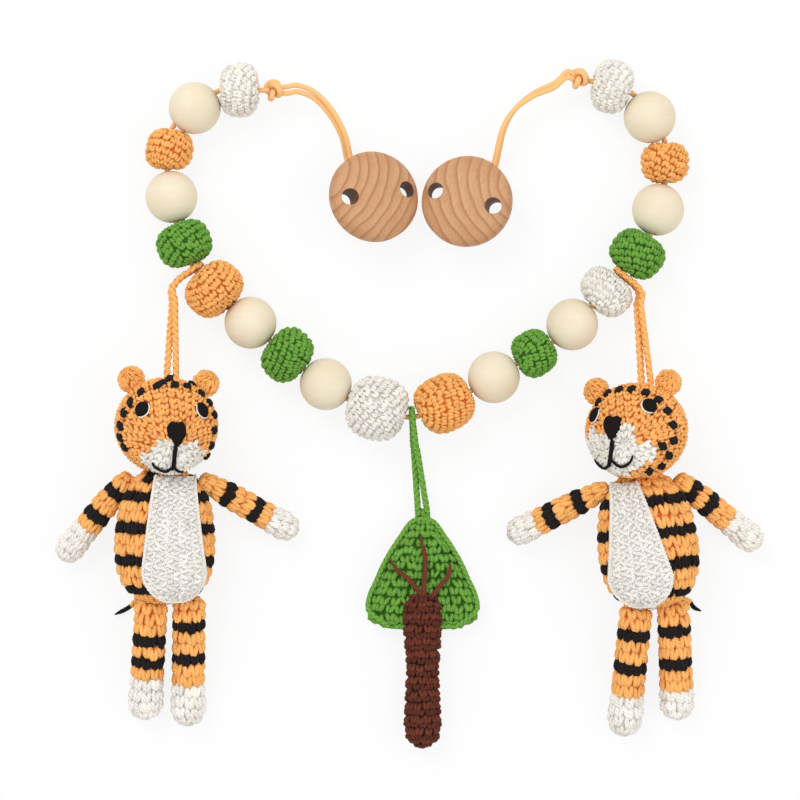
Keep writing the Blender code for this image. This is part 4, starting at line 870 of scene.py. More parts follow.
def makeBeech(side):
    # growth rings run round a far point of the disc's own plane: each is dark at first and fades
    wood = Finish(f"{side}Beech", {"Roughness": 0.5, "Specular IOR Level": 0.35})
    axes, origin = clipFrame(side)
    place = wood.mapped(wood.place(), {"vector_type": "TEXTURE"}, Location=tuple(origin),
                        Rotation=tuple(Matrix(axes).to_euler()))
    far = wood.distance(place, (1, 1, 0.5), disc["heart"][side])
    ring = far / beech["ring"] + wood.noise(place, 38, 2) * beech["waver"]
    fade = ring - ring.math("FLOOR", ring)
    line = fade.above(0.04, 0.08) - fade.above(0.24, 0.3)
    fleckTurn = (0, 0, math.radians(disc["fleckTurn"][side]))
    fleck = wood.noise(wood.mapped(place, Rotation=fleckTurn, Scale=(1500, 420, 900)), 1.0, 3, 0.6)
    apart = [wood.distance(place, (1, 1, 0), (sign * disc["ventApart"], 0, 0)) for sign in (-1, 1)]
    nearest = apart[0].math("MINIMUM", *apart)
    base = (*rgb(*beech["base"]), 1)
    for mask, tone in (
        ((1 - fade.above(0.45, 0.9)) * 0.55, "late"), (line * 0.55, "line"),
        (wood.noise(place, 110, 3).above(0.6, 0.3) * 0.45, "cloud"), (fleck.above(0.6, 0.25) * 0.4, "fleck"),
        # painted shade: the walls of the vents and a thin ring round them are coloured dark brown
        (1 - nearest.above(disc["vent"] + 0.12 * mm, 0.2 * mm), "vent"),
    ):
        base = wood.toned(base, mask, beech[tone])
    wood.feed(Base_Color=base, Roughness=0.5 + fleck * 0.12)
    wood.bumped(fleck - line * 0.2, 0.04 * mm, 0.3)
    return wood


def makeDisc(side):
    # the disc's outline turned round its axis: a quarter round at the back, the rim, then the dome
    axes, origin = clipFrame(side)
    a, b = np.linspace(0, math.pi / 2, 9), np.linspace(0, math.pi / 2, 33)
    r, rim, tip = disc["radius"], disc["rim"], disc["tip"]
    inwards, upwards = disc["domePowers"]
    back = np.stack([r - disc["backRound"] * (1 - np.sin(a)), disc["backRound"] * (1 - np.cos(a))], axis=1)
    dome = np.stack([r * np.cos(b) ** inwards, rim + (disc["thick"] - rim) * np.sin(b) ** upwards], axis=1)
    dome[-1, 0] = tip
    outline = np.vstack([[tip, 0], back, dome])
    angle = np.arange(disc["steps"]) * full / disc["steps"]
    local = np.stack([outline[:, :1] * np.cos(angle), outline[:, :1] * np.sin(angle),
                      np.repeat(outline[:, 1:], len(angle), axis=1)], axis=-1)
    obj = makePiece(f"{side}Disc", [gridLump(origin + local @ axes.T, rgb(*beech["tint"]))], makeBeech(side),
                    f"{side}_clip", [f"{side}_clip_disc"])
    t = np.arange(disc["cutSides"]) * full / disc["cutSides"]
    for sign in (-1, 1):
        ring = np.stack([sign * disc["ventApart"] + disc["vent"] * np.cos(t), disc["vent"] * np.sin(t)], axis=1)
        grid = np.stack([np.column_stack([ring, np.full(len(t), z)]) for z in disc["cut"]])
        cutVent(obj, gridLump(origin + grid @ axes.T, (0, 0, 0)))
    obj.data.set_sharp_from_angle(angle=math.radians(disc["sharp"]))


def cutVent(obj, lump):
    # takes a lump out of a piece, and keeps the result as its mesh
    data = bpy.data.meshes.new("ventCutter")
    data.from_pydata(lump["points"].tolist(), [], [face for faces in lump["faces"] for face in faces.tolist()])
    tool = bpy.data.objects.new("ventCutter", data)
    bpy.context.scene.collection.objects.link(tool)
    cut = obj.modifiers.new("vent", "BOOLEAN")
    cut.object, cut.solver = tool, "EXACT"
    graph = bpy.context.evaluated_depsgraph_get()
    mesh = bpy.data.meshes.new_from_object(obj.evaluated_get(graph))
    obj.modifiers.clear()
    obj.data = mesh
    bpy.data.objects.remove(tool)


def makeSteel():
    # plated sheet with a fine brushed grain
    steel = Finish("platedSteel", {"Metallic": 1.0, "Base Color": (0.72, 0.72, 0.73, 1)})
    grain = steel.noise(steel.mapped(steel.place(), Scale=(4000, 300, 300)), 1.0, 3)
    smudge = steel.noise(steel.place(), 120, 2)
    steel.feed(Roughness=0.24 + grain * 0.12 + smudge * 0.1)
    steel.bumped(grain, 0.02 * mm, 0.25)
    return steel


def makeClips():
    makeDisc("left")
    makeDisc("right")
    steel = makeSteel()
    for side in ("left", "right"):
        for part in ("plate", "lever", "rivet", "pin"):
            mesh = frame["nodes"][f"{side}_clip_{part}"].data
            mesh.materials.clear()
            mesh.materials.append(steel.material)


makeClips()

print("scene: tigers")

tigers = {
    "left": {"bead": 5, "turn": 8, "nod": 0, "roll": -3, "heading": 269, "arms": (230, 330), "legs": (266, 269),
             "armBands": ((6.5, 19.5, 26), (10, 20.5, 27.5)), "legBands": ((12, 21.4, 30.5), (10.4, 22, 31)),
             "legLengths": (44.5 * mm, 48.0 * mm), "patchAside": 4.8 * mm, "patchTop": (15.7 * mm, -0.8 * mm),
             "loopAside": 2.0 * mm, "tail": -1,
             "eyes": ((142, 409), (202.5, 410)), "nose": (177.3, 434), "muzzleAside": 1.2 * mm,
             "noseLine": ((176, 444), (174.5, 456), (173.5, 466), (172, 470)),
             "mouth": ((152, 462), (156, 467.5), (166, 471.5), (173, 467), (178, 471), (184, 471.5)),
             "white": ((157, 434), (167, 441), (188, 441), (199, 442), (206, 452), (203, 462), (193, 477),
                       (158, 478), (141, 462), (143, 452), (152, 450), (153, 443)),
             "neckSpots": ((150, 473), (196, 473)), "tailPath": ((137, 601), (128, 608), (115, 614.5)),
             "dashes": ((140.8, 391.7), (130, 401.7), (123.3, 413), (119.7, 425.8), (119.7, 437.5),
                        (124.2, 447.5), (156.7, 385.5), (169.2, 379.2), (175, 384.2), (187.5, 385.8),
                        (201.7, 393), (210, 402.5), (215, 414.7), (215, 430), (212, 445.8), (208, 456.7),
                        (162, 382.5), (171, 374.5), (193.3, 381.7))},
    "right": {"bead": 15, "turn": -19, "nod": 6, "roll": 7, "heading": 276, "arms": (207, 321),
              "legs": (265, 273), "armBands": ((8.6, 20, 27.6), (3.5, 15.5, 25)),
              "legBands": ((8.4, 22, 31), (7.8, 20.8, 31)), "legLengths": (49.0 * mm, 44.0 * mm),
              "patchAside": -4.2 * mm, "patchTop": (10.6 * mm, -3.0 * mm), "loopAside": 3.6 * mm, "tail": 1,
              "eyes": ((594.3, 415), (649.5, 405.5)), "nose": (611.3, 428), "muzzleAside": 0,
              "noseLine": ((612.5, 439), (611.5, 450), (610.5, 458), (608.8, 467)),
              "mouth": ((594.5, 459), (600, 465.5), (606, 468), (612, 461), (617, 465), (623, 466.5),
                        (630, 462), (633, 455)),
              "white": ((590, 429), (600, 432), (622, 423), (629, 425), (636, 436), (638, 443), (651, 443),
                        (660, 446), (655, 459), (640, 473), (600, 480), (582, 460), (583, 440)),
              "neckSpots": (), "tailPath": ((689.5, 602), (694, 607.5), (701, 611)),
              "dashes": ((597.9, 402.1), (607.1, 392.9), (618.6, 389.3), (631.4, 388.6), (645.7, 392.1),
                         (658.6, 399.3), (667.9, 410.7), (673.6, 425), (674.3, 440.7), (662.9, 446.4),
                         (669.3, 455.7), (662.1, 466.4), (649.3, 471.4))},
}
head = {"radii": (20.0 * mm, 18.8 * mm, 18.0 * mm), "muzzleRadii": (11.8 * mm, 10.7 * mm, 9.5 * mm),
        "muzzle": (0, -8.0 * mm, 10.5 * mm), "blend": 1.4 * mm, "noseDown": 16.5,
        "work": stitch(3.3, 2.9, 1.0, 1.2, 0.8), "eye": (3.0 * mm, 3.2 * mm), "eyeHigh": 1.2 * mm,
        "nose": (3.75 * mm, 4.7 * mm), "noseHigh": 1.1 * mm, "noseLine": 0.85 * mm, "mouth": 0.55 * mm,
        # the nose's outline goes in or out round some directions: degrees, how wide and how much
        "noseBumps": ((90, 16, -0.13), (48, 24, 0.18), (132, 24, 0.18), (-38, 34, -0.24), (218, 34, -0.24))}
eyeThread = {"start": -110, "end": 45, "radius": 0.3 * mm, "lift": 0.35 * mm, "out": 1.02}
dash = {"half": 1.45 * mm, "apart": 0.75 * mm, "slant": 0.6 * mm, "radius": 1.0 * mm, "drop": 0.5 * mm,
        "lift": -0.1 * mm, "leans": 0.3}
ear = {"radius": 5.4 * mm, "thick": 5.2 * mm, "stand": 2.9 * mm, "heading": 50, "forward": 0.9,
       "work": stitch(3.0, 2.5), "sunk": 1.2 * mm}
body = {"neckDrop": 16.0 * mm, "length": 52.4 * mm, "width": 39.0 * mm, "depth": 30.0 * mm,
        "work": stitch(4.2, 4.2, 1.3, 1.3, 0.88), "bands": (27.0, 39.6, 51.9, 64.0), "spot": 6,
        "underHead": 1.5 * mm, "underPatch": 2.2 * mm}
bodyShares = (0, 0.01, 0.04, 0.08, 0.16, 0.26, 0.42, 0.58, 0.72, 0.82, 0.90, 0.95, 0.985, 1)
bodyWidthShares = (0.2, 0.35, 0.52, 0.63, 0.79, 0.90, 0.975, 1, 0.965, 0.89, 0.75, 0.59, 0.40, 0.2)
patch = {"thick": 1.6 * mm, "width": 24.6 * mm, "drop": 3.0 * mm, "length": 48.4 * mm, "rows": 8,
         "work": {"width": 4.1 * mm, "height": 0.2, "loose": 1.0, "short": 0.72}, "margin": 1.3 * mm,
         "border": 1.9 * mm, "borderIn": 0.7 * mm,
         # the patch's white: lit on top of a strand, then a little darker as painted shade in its creases and
         # under its stitches
         "colours": np.concatenate([rgb(244, 240, 233), rgb(240, 236, 228)])}
arm = {"length": 39.6 * mm, "root": 8.0 * mm, "rootWidth": 8.0 * mm, "middle": 10.6 * mm, "tip": 11.6 * mm,
       "work": stitch(4.1, 4.2, 1.15, 1.3, 0.88)}
legs = {"root": 5.6 * mm, "rootWidth": 13.0 * mm, "middle": 13.0 * mm, "tip": 14.0 * mm,
        "work": stitch(4.2, 4.2, 1.15, 1.3, 0.88)}
limbMarks, limbInBody = (0, 0.28, 0.62, 0.86, 1), 2.5 * mm
tail = {"width": 2.9 * mm, "tip": 2.4 * mm, "inBody": 2.5 * mm, "orange": 0.65, "taper": 0.35}


def banded(along, bands, work, paw=1e9):
    # orange, with black rounds at some distances in millimetres and white from the paw on
    reach = work["step"] / mm / 2
    colours = np.tile(yarnColours["orange"], (len(along), 1))
    for band in bands:
        colours[np.abs(along - band) < reach] = yarnColours["black"]
    colours[along > paw] = yarnColours["white"]
    return colours


def insidePolygon(points, corners):
    # a point is inside where a line from it crosses the sides an odd number of times
    a = np.array(corners, float)
    b = np.roll(a, -1, axis=0)
    x, y = points[:, :1], points[:, 1:2]
    spanned = (a[:, 1] > y) != (b[:, 1] > y)
    slope = (y - a[:, 1]) / np.where(a[:, 1] == b[:, 1], 1, b[:, 1] - a[:, 1])
    crossing = a[:, 0] + slope * (b[:, 0] - a[:, 0])
    return (spanned & (x < crossing)).sum(axis=1) % 2 == 1


class Tiger:
    # where one tiger lies, its forms and its pieces

    def __init__(self, side):
        self.side, self.pose = side, tigers[side]
        self.name = f"{side}_tiger"
        self.face = turned(self.pose["roll"], up) @ turned(self.pose["turn"], (0, 1, 0)) \
            @ turned(-self.pose["nod"], (1, 0, 0))
        self.head = np.array(joints[f"{self.name}_neck"]["pos_m"])
        self.down = heading(self.pose["heading"])
        self.across = heading(self.pose["heading"] + 90)
        lean = math.radians(head["noseDown"])
        self.nosePole = np.array([0, -math.sin(lean), math.cos(lean)])
        self.noseTop = np.array([0, math.cos(lean), math.sin(lean)])

    def piece(self, part, lumps, finish, body, node=None):
        nodes = [f"{self.name}_{node}"] if node else []
        return makePiece(f"{self.side}Tiger{part}", lumps, finish, f"{self.name}_{body}",
                         nodes)

    def crochet(self, part, form, work, paint, body, node, hidden=None):
        # a part of orange yarn
        return crocheted(f"{self.side}Tiger{part}", form, work, paint, f"{self.name}_{body}",
                         [f"{self.name}_{node}"], hidden)

    def reachOf(self, direction):
        # the head's reach in a direction of the face's own axes: skull or muzzle, blended where they meet
        skull = 1 / np.linalg.norm(direction / np.array(head["radii"]), axis=-1)
        radii = np.array(head["muzzleRadii"])
        centre = np.array(head["muzzle"]) + (self.pose["muzzleAside"], 0, 0)
        a = ((direction / radii) ** 2).sum(-1)
        b = (direction * centre / radii**2).sum(-1)
        c = ((centre / radii) ** 2).sum() - 1
        inside = b * b - a * c
        muzzle = np.where(inside > 0, (b + np.sqrt(np.maximum(inside, 0))) / a, 0)
        mixing = np.clip(0.5 + 0.5 * (skull - muzzle) / head["blend"], 0, 1)
        return muzzle * (1 - mixing) + skull * mixing + head["blend"] * mixing * (1 - mixing)

    def outsideHead(self, points):
        local = (points - self.head) @ self.face
        far = np.linalg.norm(local, axis=-1)
        return far - self.reachOf(local / np.maximum(far, 1e-9)[..., None])

    def headForm(self, share, angle):
        # the crochet starts at the nose and ends behind
        direction = aroundPole(self.nosePole, self.noseTop, share, angle)
        return self.head + (direction * self.reachOf(direction)[..., None]) @ self.face.T

    def headPaint(self, points, row):
        # white round the muzzle, orange elsewhere
        colours = np.tile(yarnColours["orange"], (len(points), 1))
        front = ((points - self.head) @ self.face)[:, 2] > 0
        colours[insidePolygon(toPixels(points), self.pose["white"]) & front] = yarnColours["white"]
        return colours

    def onBody(self, across, down, height):
        level = self.head + across[..., None] * self.across + down[..., None] * self.down
        return np.concatenate([level[..., :2], height[..., None]], axis=-1)

    def bodyHalf(self, down):
        # half the body's width at a distance below the head's middle
        return body["width"] / 2 * np.interp(
            (down - body["neckDrop"]) / body["length"], bodyShares, bodyWidthShares)

    def bodyTop(self, across, down):
        half = self.bodyHalf(down)
        rise = np.sqrt(np.maximum(1 - (across / half) ** 2, 0))
        return body["depth"] / 2 + half * body["depth"] / body["width"] * rise

    def insideBody(self, points, margin):
        offset = points - self.head
        down, across = offset @ self.down, offset @ self.across
        half = self.bodyHalf(down)
        deep, rise = half * body["depth"] / body["width"], points[..., 2] - body["depth"] / 2
        inside = (across / (half - margin)) ** 2 + (rise / (deep - margin)) ** 2 < 1
        return inside & (down > body["neckDrop"]) & (down < body["neckDrop"] + body["length"])

    def makeHead(self):
        self.crochet("Head", self.headForm, head["work"], self.headPaint, "head", "head")
        a = math.radians(ear["heading"])
        reach = 1 / math.hypot(math.cos(a) / head["radii"][0], math.sin(a) / head["radii"][1]) + ear["stand"]
        for sign, which in ((-1, "left"), (1, "right")):
            centre = self.head + self.face @ np.array([sign * reach * math.cos(a), reach * math.sin(a), 0])
            pole = unit(np.array([sign * math.cos(a), math.sin(a), ear["forward"]]))

            def form(share, angle, centre=centre, pole=pole):
                # a flat ball, crocheted from its outer front to its root
                direction = aroundPole(pole, unit(np.cross(pole, (0, 0, 1.0))), share, angle)
                return centre + direction * (ear["radius"], ear["radius"], ear["thick"] / 2) @ self.face.T

            self.crochet(f"{which.capitalize()}Ear", form, ear["work"], plain("orange"), "head", f"{which}_ear",
                         lambda points: self.outsideHead(points) < -ear["sunk"])

    def onHead(self, pixels, lift=0.0):
        # the points of the head that are seen at some pixels, or the nearest to them, a little above it
        points = ontoSurface(pixels, self.outsideHead, self.head[2])
        direction = unit(points - self.head)
        return self.head + direction * (self.reachOf(direction @ self.face) + lift)[..., None]

    def dome(self, pixel, radii, high, outline=None):
        # a pad on the head: each ring of its outline lies high (1 - share^3)^0.5 above the skin
        centre = self.onHead(np.array(pixel))
        beside = self.onHead(np.array(pixel) + np.array([[1.5, 0], [0, -1.5], [-1.5, 0], [0, 1.5]]))
        normal = unit(np.cross(beside[0] - beside[2], beside[1] - beside[3]))
        sideways = unit(np.cross((0, 1.0, 0), normal))
        upright = np.cross(normal, sideways)
        share, angle = np.meshgrid(np.linspace(0.02, 1, 15), np.arange(40) * full / 40, indexing="ij")
        out = np.ones_like(angle) if outline is None else outline(angle)
        x, y = radii[0] * share * out * np.cos(angle), radii[1] * share * out * np.sin(angle)
        flat = centre + x[..., None] * sideways + y[..., None] * upright
        skin = flat - normal * self.outsideHead(flat)[..., None]
        grid = skin + normal * (high * np.sqrt(1 - share**3))[..., None]
        under = skin[-1:] - normal * 1.2 * mm
        lump = gridLump(np.concatenate([grid, under]), yarnColours["black"][:3])
        return lump, centre, (sideways, upright, normal)

    def makeDashes(self):
        # black stitches over the brow: two short strands side by side, c + h t along the round
        # + (a s + l t) towards the nose - d t^2 inwards, with t from -1 to 1 and s = -1 or 1
        middle = self.onHead(np.array(self.pose["dashes"], float), dash["lift"])
        outwards = unit(middle - self.head)
        along = unit(np.cross(self.face @ self.nosePole, outwards))
        towards = np.cross(outwards, along)
        t = np.linspace(-1, 1, 9)[None, :, None]
        lumps, thick = [], dash["radius"] * roundEnded(9, 0.35)
        for side in (-1, 1):
            lean = rng.normal(0, dash["leans"], (len(middle), 1, 1)) * t
            paths = middle[:, None] + along[:, None] * (dash["half"] * t) \
                - outwards[:, None] * (dash["drop"] * t**2) \
                + towards[:, None] * (dash["apart"] * side + dash["slant"] * (t + lean))
            lumps += [tubeLump(path, thick, yarnColours["black"], 8) for path in paths]
        self.piece("Dashes", lumps, yarn, "head")

    def stroke(self, pixels, radius):
        # a black thread laid on the head along some pixels
        path = self.onHead(evenly(smoothRoute(np.array(pixels, float)), 0.7), 0.2 * mm)
        return tubeLump(path, radius * roundEnded(len(path)), yarnColours["black"], 8)

    def makeFace(self):
        felt = Finish(f"{self.side}FaceBlack", {"Roughness": 0.95, "Specular IOR Level": 0.08})
        weave = felt.noise(felt.place(), 2200, 2)
        felt.feed(Base_Color=felt.toned((*rgb(14, 12, 12), 1), weave, (40, 34, 34)))
        felt.bumped(weave, 0.12 * mm, 0.7)
        a = np.radians(np.linspace(eyeThread["start"], eyeThread["end"], 24))
        for number, pixel, inner in zip((1, 2), self.pose["eyes"], (1, -1)):
            lump, centre, (sideways, upright, normal) = self.dome(pixel, head["eye"], head["eyeHigh"])
            self.piece(f"Eye{number}", [lump], felt, "head")
            x = inner * np.cos(a) * head["eye"][0] * eyeThread["out"]
            y = np.sin(a) * head["eye"][1] * eyeThread["out"]
            flat = centre + x[:, None] * sideways + y[:, None] * upright
            arc = flat - normal * (self.outsideHead(flat)[:, None] - eyeThread["lift"])
            thread = tubeLump(arc, eyeThread["radius"] * roundEnded(len(arc)), yarnColours["white"], 6)
            self.piece(f"EyeThread{number}", [thread], yarn, "head")

        def outline(angle):
            # a shield with a notched top: 1 plus and minus bumps exp(-((a - place) / width)^2)
            out = 1.0
            for place, wide, grow in head["noseBumps"]:
                away = (np.degrees(angle) - place + 180) % 360 - 180
                out = out + grow * np.exp(-(away / wide) ** 2)
            return out

        pad, _, _ = self.dome(self.pose["nose"], head["nose"], head["noseHigh"], outline)
        self.piece("Nose", [pad], felt, "head")
        self.piece("NoseLine", [self.stroke(self.pose["noseLine"], head["noseLine"])], felt, "head")
        self.piece("Mouth", [self.stroke(self.pose["mouth"], head["mouth"])], felt, "head")

    def makeBody(self):
        shares = np.concatenate([[1.006], np.array(bodyShares[::-1]), [-0.006]])
        widths = body["width"] / 2 * np.concatenate([[0], np.array(bodyWidthShares[::-1]), [0]])
        down = body["neckDrop"] + body["length"] * shares
        centres = self.onBody(np.zeros_like(down), down, np.full_like(down, body["depth"] / 2))
        form = loftForm(centres, widths, widths * body["depth"] / body["width"], self.across, up)

        def paint(points, row):
            colours = banded((points - self.head) @ self.down / mm, body["bands"], body["work"])
            for spot in self.pose["neckSpots"]:
                near = np.linalg.norm(toPixels(points) - spot, axis=1) < body["spot"]
                colours[near & (points[:, 2] > body["depth"] / 2)] = yarnColours["black"]
            return colours

        def hidden(points):
            # under the head, and under the belly patch
            offset = points - self.head
            down = offset @ self.down
            across = np.abs(offset @ self.across - self.patchMiddle(down))
            under = (across < self.patchHalf(down) - body["underPatch"]) & (points[:, 2] > body["depth"] / 2)
            return (self.outsideHead(points) < -body["underHead"]) | under

        self.crochet("Body", form, body["work"], paint, "torso", "body", hidden)

    def patchMiddle(self, down):
        # how far the patch lies from the body's middle line: steadily further aside towards its top
        top = body["neckDrop"] + patch["drop"]
        lean = np.interp(down, (top, top + patch["length"]), (self.pose["patchTop"][1], 0))
        return self.pose["patchAside"] + lean

    def patchHalf(self, down):
        # half the patch's width: it widens to the belly and ends in a half circle
        top = body["neckDrop"] + patch["drop"]
        wide = patch["width"] / 2
        level = top + patch["length"] - wide
        straight = np.interp(down, (top, level), (self.pose["patchTop"][0] / 2, wide))
        rounded = np.sqrt(np.maximum(1 - ((down - level) / wide) ** 2, 0)) * wide
        half = np.where(down > level, rounded, straight)
        return np.where((down < top) | (down > top + patch["length"]), 0, half)

    def makePatch(self):
        top, long, thick = body["neckDrop"] + patch["drop"], patch["length"], patch["thick"]

        def onPatch(across, down, high):
            across = self.patchMiddle(down) + across
            return self.onBody(across, down, self.bodyTop(across, down) + high)

        # a thin oval across the body, as wide as the patch, from its foot to its top
        share, angle = np.meshgrid(np.linspace(0.02, 0.98, 60), np.arange(40) * full / 40, indexing="ij")
        down = top + (0.5 + 0.5 * np.cos(math.pi * share)) * long
        high = thick / 2 * signedPower(np.sin(angle), 0.6) * np.sin(math.pi * share) ** 0.3
        slab = onPatch(self.patchHalf(down) * signedPower(np.cos(angle), 0.7), down, thick * 0.35 + high)

        def place(along, around):
            # rows run down the patch and are counted across it, around counts down each row
            down = top + around * long
            half = np.maximum(self.patchHalf(np.clip(down, top + mm, top + long - mm)), 2 * mm)
            return onPatch((along / patch["rows"] * 2 - 1) * (half - patch["margin"]), down, thick * 0.95)

        count = round(long / patch["work"]["width"])
        row, number = np.repeat(np.arange(patch["rows"]), count), np.tile(np.arange(count), patch["rows"])
        around = (number + 0.5 + 0.25 * (row % 2)) / count
        shown = self.patchHalf(top + around * long) > 0.35 * patch["width"] / 2
        row, around = row[shown], around[shown]
        work = legLump(place, row + 0.5, around, np.full(len(row), float(count)), patch["work"], 1,
                       np.broadcast_to(patch["colours"], (len(row), 6)), np.where(row % 2 == 1, -1, 1))
        edge, inset = np.linspace(-1, 1, 80), patch["borderIn"]
        down = top + long * (1 - np.abs(edge) ** 1.6)
        half = self.patchHalf(np.clip(down, top + 0.2 * mm, top + long - 0.2 * mm)) - inset
        border = onPatch(np.sign(edge) * half, np.minimum(down, top + long - inset), thick * 0.55)
        border = braidLumps(border[np.abs(edge) > 0.03], patch["border"], patch["colours"])
        # the slab under the stitches takes the crease colour, as painted shade
        obj = self.piece("Patch", [gridLump(slab, patch["colours"][3:]), work, *border], yarn, "torso",
                         "belly_patch")

    def limb(self, part, start, heading_, long, sizes, bands, node):
        # stations from the rounded tip back to the root, as wide and deep as the limb's sizes say
        end = start + heading(heading_, long)
        end[2] = sizes["tip"] / 2
        ahead = unit(end - start)
        sideways = unit(np.cross(up, ahead))
        shares = np.concatenate([[0], np.linspace(0.08, 0.84, 6)])
        widths, depths = (
            np.interp(shares, limbMarks, (sizes[root], *[sizes["middle"]] * 2, *[sizes["tip"]] * 2)) / 2
            for root in ("rootWidth", "root"))
        long, crown, cap = np.linalg.norm(end - start), sizes["root"] / 2, sizes["tip"] / 2
        a, b = np.radians((0, 8, 35, 62)), np.radians((28, 54, 80, 90))
        along = np.concatenate([-crown * np.cos(a), long * shares, long - cap + cap * np.sin(b)])
        wide = np.concatenate([sizes["rootWidth"] / 2 - crown * (1 - np.sin(a)), widths, cap * np.cos(b)])
        wide[0] = 0
        deep = np.concatenate([crown * np.sin(a), depths, cap * np.cos(b)])
        order = np.argsort(-along)
        form = loftForm(start + along[order, None] * ahead, wide[order], deep[order], sideways,
                        np.cross(ahead, sideways))

        def paint(points, row):
            return banded((points - start) @ ahead / mm, bands[:-1], sizes["work"], bands[-1])

        self.crochet(part, form, sizes["work"], paint, node, node,
                               lambda points: self.insideBody(points, limbInBody))

    def makeLimbs(self):
        for number, which in enumerate(("left", "right")):
            for kind, joint, sizes in (("arm", "shoulder", arm), ("leg", "hip", legs)):
                long = arm["length"] if kind == "arm" else self.pose["legLengths"][number]
                start = np.array(joints[f"{self.name}_{which}_{joint}"]["pos_m"])
                self.limb(f"{which.capitalize()}{kind.capitalize()}", start, self.pose[f"{kind}s"][number],
                          long, sizes, self.pose[f"{kind}Bands"][number], f"{which}_{kind}")

    def makeTail(self):
        # a short braid, orange and then black, that ends in a point
        root = np.array(joints[f"{self.name}_tail_root"]["pos_m"])
        start = root - unit(self.across * self.pose["tail"]) * tail["inBody"]
        rest = fromPixels(self.pose["tailPath"], tail["width"] / 2)
        path = evenly(smoothRoute(np.vstack([start, root, rest])), 0.5 * mm)
        half = int(len(path) * tail["orange"])
        self.piece("Tail", [*braidLumps(path[:half + 1], tail["width"], yarnColours["orange"]),
                            *braidLumps(path[half:], tail["tip"], yarnColours["black"], tail["taper"])],
                   yarn, "tail", "tail")

    def makeLoop(self):
        end = self.head + np.array([self.pose["loopAside"], head["radii"][1] + loops["yarn"] / 4, 0])
        route = yarnLoopRoute(between[self.pose["bead"]], self.pose["bead"], end)
        lumps = braidLumps(route, loops["yarnLook"], yarnColours["orange"])
        self.piece("Loop", lumps, yarn, "head", "loop")


for side in tigers:
    tiger = Tiger(side)
    tiger.makeLoop()
    tiger.makeHead()
    tiger.makeDashes()
    tiger.makeFace()
    tiger.makeBody()
    tiger.makePatch()
    tiger.makeLimbs()
    tiger.makeTail()

print("scene: tree")

tree = {"bead": 10, "crownDrop": 37.3 * mm, "aside": 4.0 * mm, "crownWidth": 45.0 * mm,
        "crownHeight": 45.0 * mm, "crownThick": 9.6 * mm, "trunkDrop": 68.1 * mm, "trunkLength": 59.8 * mm,
        "branch": 1.9 * mm,
        "crownWork": stitch(3.9, 3.4, 1.25, 1.7, 0.72), "trunkWork": stitch(3.4, 2.5, 1.0, 1.8, 0.8),
        "ridges": 5.0 * mm, "ridgeHigh": 0.035, "darkRound": 0.72, "border": 2.6 * mm, "borderHigh": 2.9 * mm,
        "borderScale": (0.95, 0.97), "footScale": (0.6, 1)}
crownShares, crownWidths = (0, 0.12, 0.4, 0.78, 0.93, 1), (0.03, 0.28, 0.66, 1, 0.93, 0.6)
trunkShares, trunkWidths = (0, 0.05, 0.15, 0.5, 0.85, 0.95, 1), (9.5, 14.2, 15.8, 12.8, 14.8, 12.6, 4.4)
branches = (
    ((421.5, 597), (417, 589), (406, 577), (397, 570), (390.7, 559.8)),
    ((424, 597), (423.6, 589.2), (425.7, 564), (423.6, 550), (420.1, 536)),
    ((428, 601), (433.4, 594.8), (441.8, 583.6), (448.8, 575.2), (450.2, 562.6)),
)


def capped(shares, widths):
    # the outline's stations with a point at each end, from its foot to its top
    shares = np.concatenate([[1.004], np.array(shares[::-1]), [-0.004]])
    return shares, np.concatenate([[0], np.array(widths[::-1]), [0]])


def makeCrown(tip):
    # a flat lozenge with a rounded foot, and a braid along its edge
    shares = np.linspace(-1, 1, 25)
    shares = 0.48 - 0.52 * np.sin(shares * math.pi / 2)
    widths = tree["crownWidth"] / 2 * np.interp(shares, crownShares, crownWidths)
    depths = tree["crownThick"] / 2 * np.interp(shares, (0, 0.08, 0.92, 1), (0.4, 1, 1, 0.4))
    widths[[0, -1]] *= 0.3
    form = loftForm(tip - np.array([0, tree["crownHeight"], 0]) * shares[:, None], widths, depths,
                    np.array([1.0, 0, 0]), up, 3)
    crocheted("treeCrown", form, tree["crownWork"], plain("green"), "tree",
                        ["tree_crown"])
    edge = np.linspace(-1, 1, 61)
    wide = tree["crownWidth"] / 2 * np.interp(np.abs(edge), crownShares, crownWidths) * (np.abs(edge) > 0.01)
    border = np.stack([np.sign(edge) * wide, -tree["crownHeight"] * np.abs(edge)], axis=1)[::4]
    foot = np.linspace(0.42, -0.42, 7) * tree["crownWidth"]
    foot = np.stack([foot, np.full(7, -tree["crownHeight"])], axis=1) * tree["footScale"]
    border = np.vstack([border, foot]) * tree["borderScale"]
    border = smoothRoute(tip + np.column_stack([border, np.full(len(border), tree["borderHigh"])]))
    lumps = braidLumps(border, tree["border"], yarnColours["green"])
    makePiece("treeCrownBorder", lumps, yarn, "tree")


def makeTrunk(top):
    # round, with a wave of ridges along it: w (1 + r cos(2 pi s / p)) at a distance s from its top
    shares, widths = capped(trunkShares, trunkWidths)
    fine = np.linspace(shares[0], shares[-1], 97)
    widths = np.interp(-fine, -shares, widths) * (
        1 + tree["ridgeHigh"] * np.cos(fine * tree["trunkLength"] / tree["ridges"] * full))
    centres = top - np.array([0, tree["trunkLength"], 0]) * fine[:, None]
    form = loftForm(centres, widths * mm / 2, widths * mm / 2, np.array([1.0, 0, 0]), up)

    def ridged(points, row):
        # every other round lies deeper and is painted darker, as shade in the grooves between the ridges
        return yarnColours["brown"] * np.where(row % 2 == 0, 1, tree["darkRound"])[:, None]

    crocheted("treeTrunk", form, tree["trunkWork"], ridged, "tree",
                        ["tree_trunk"])


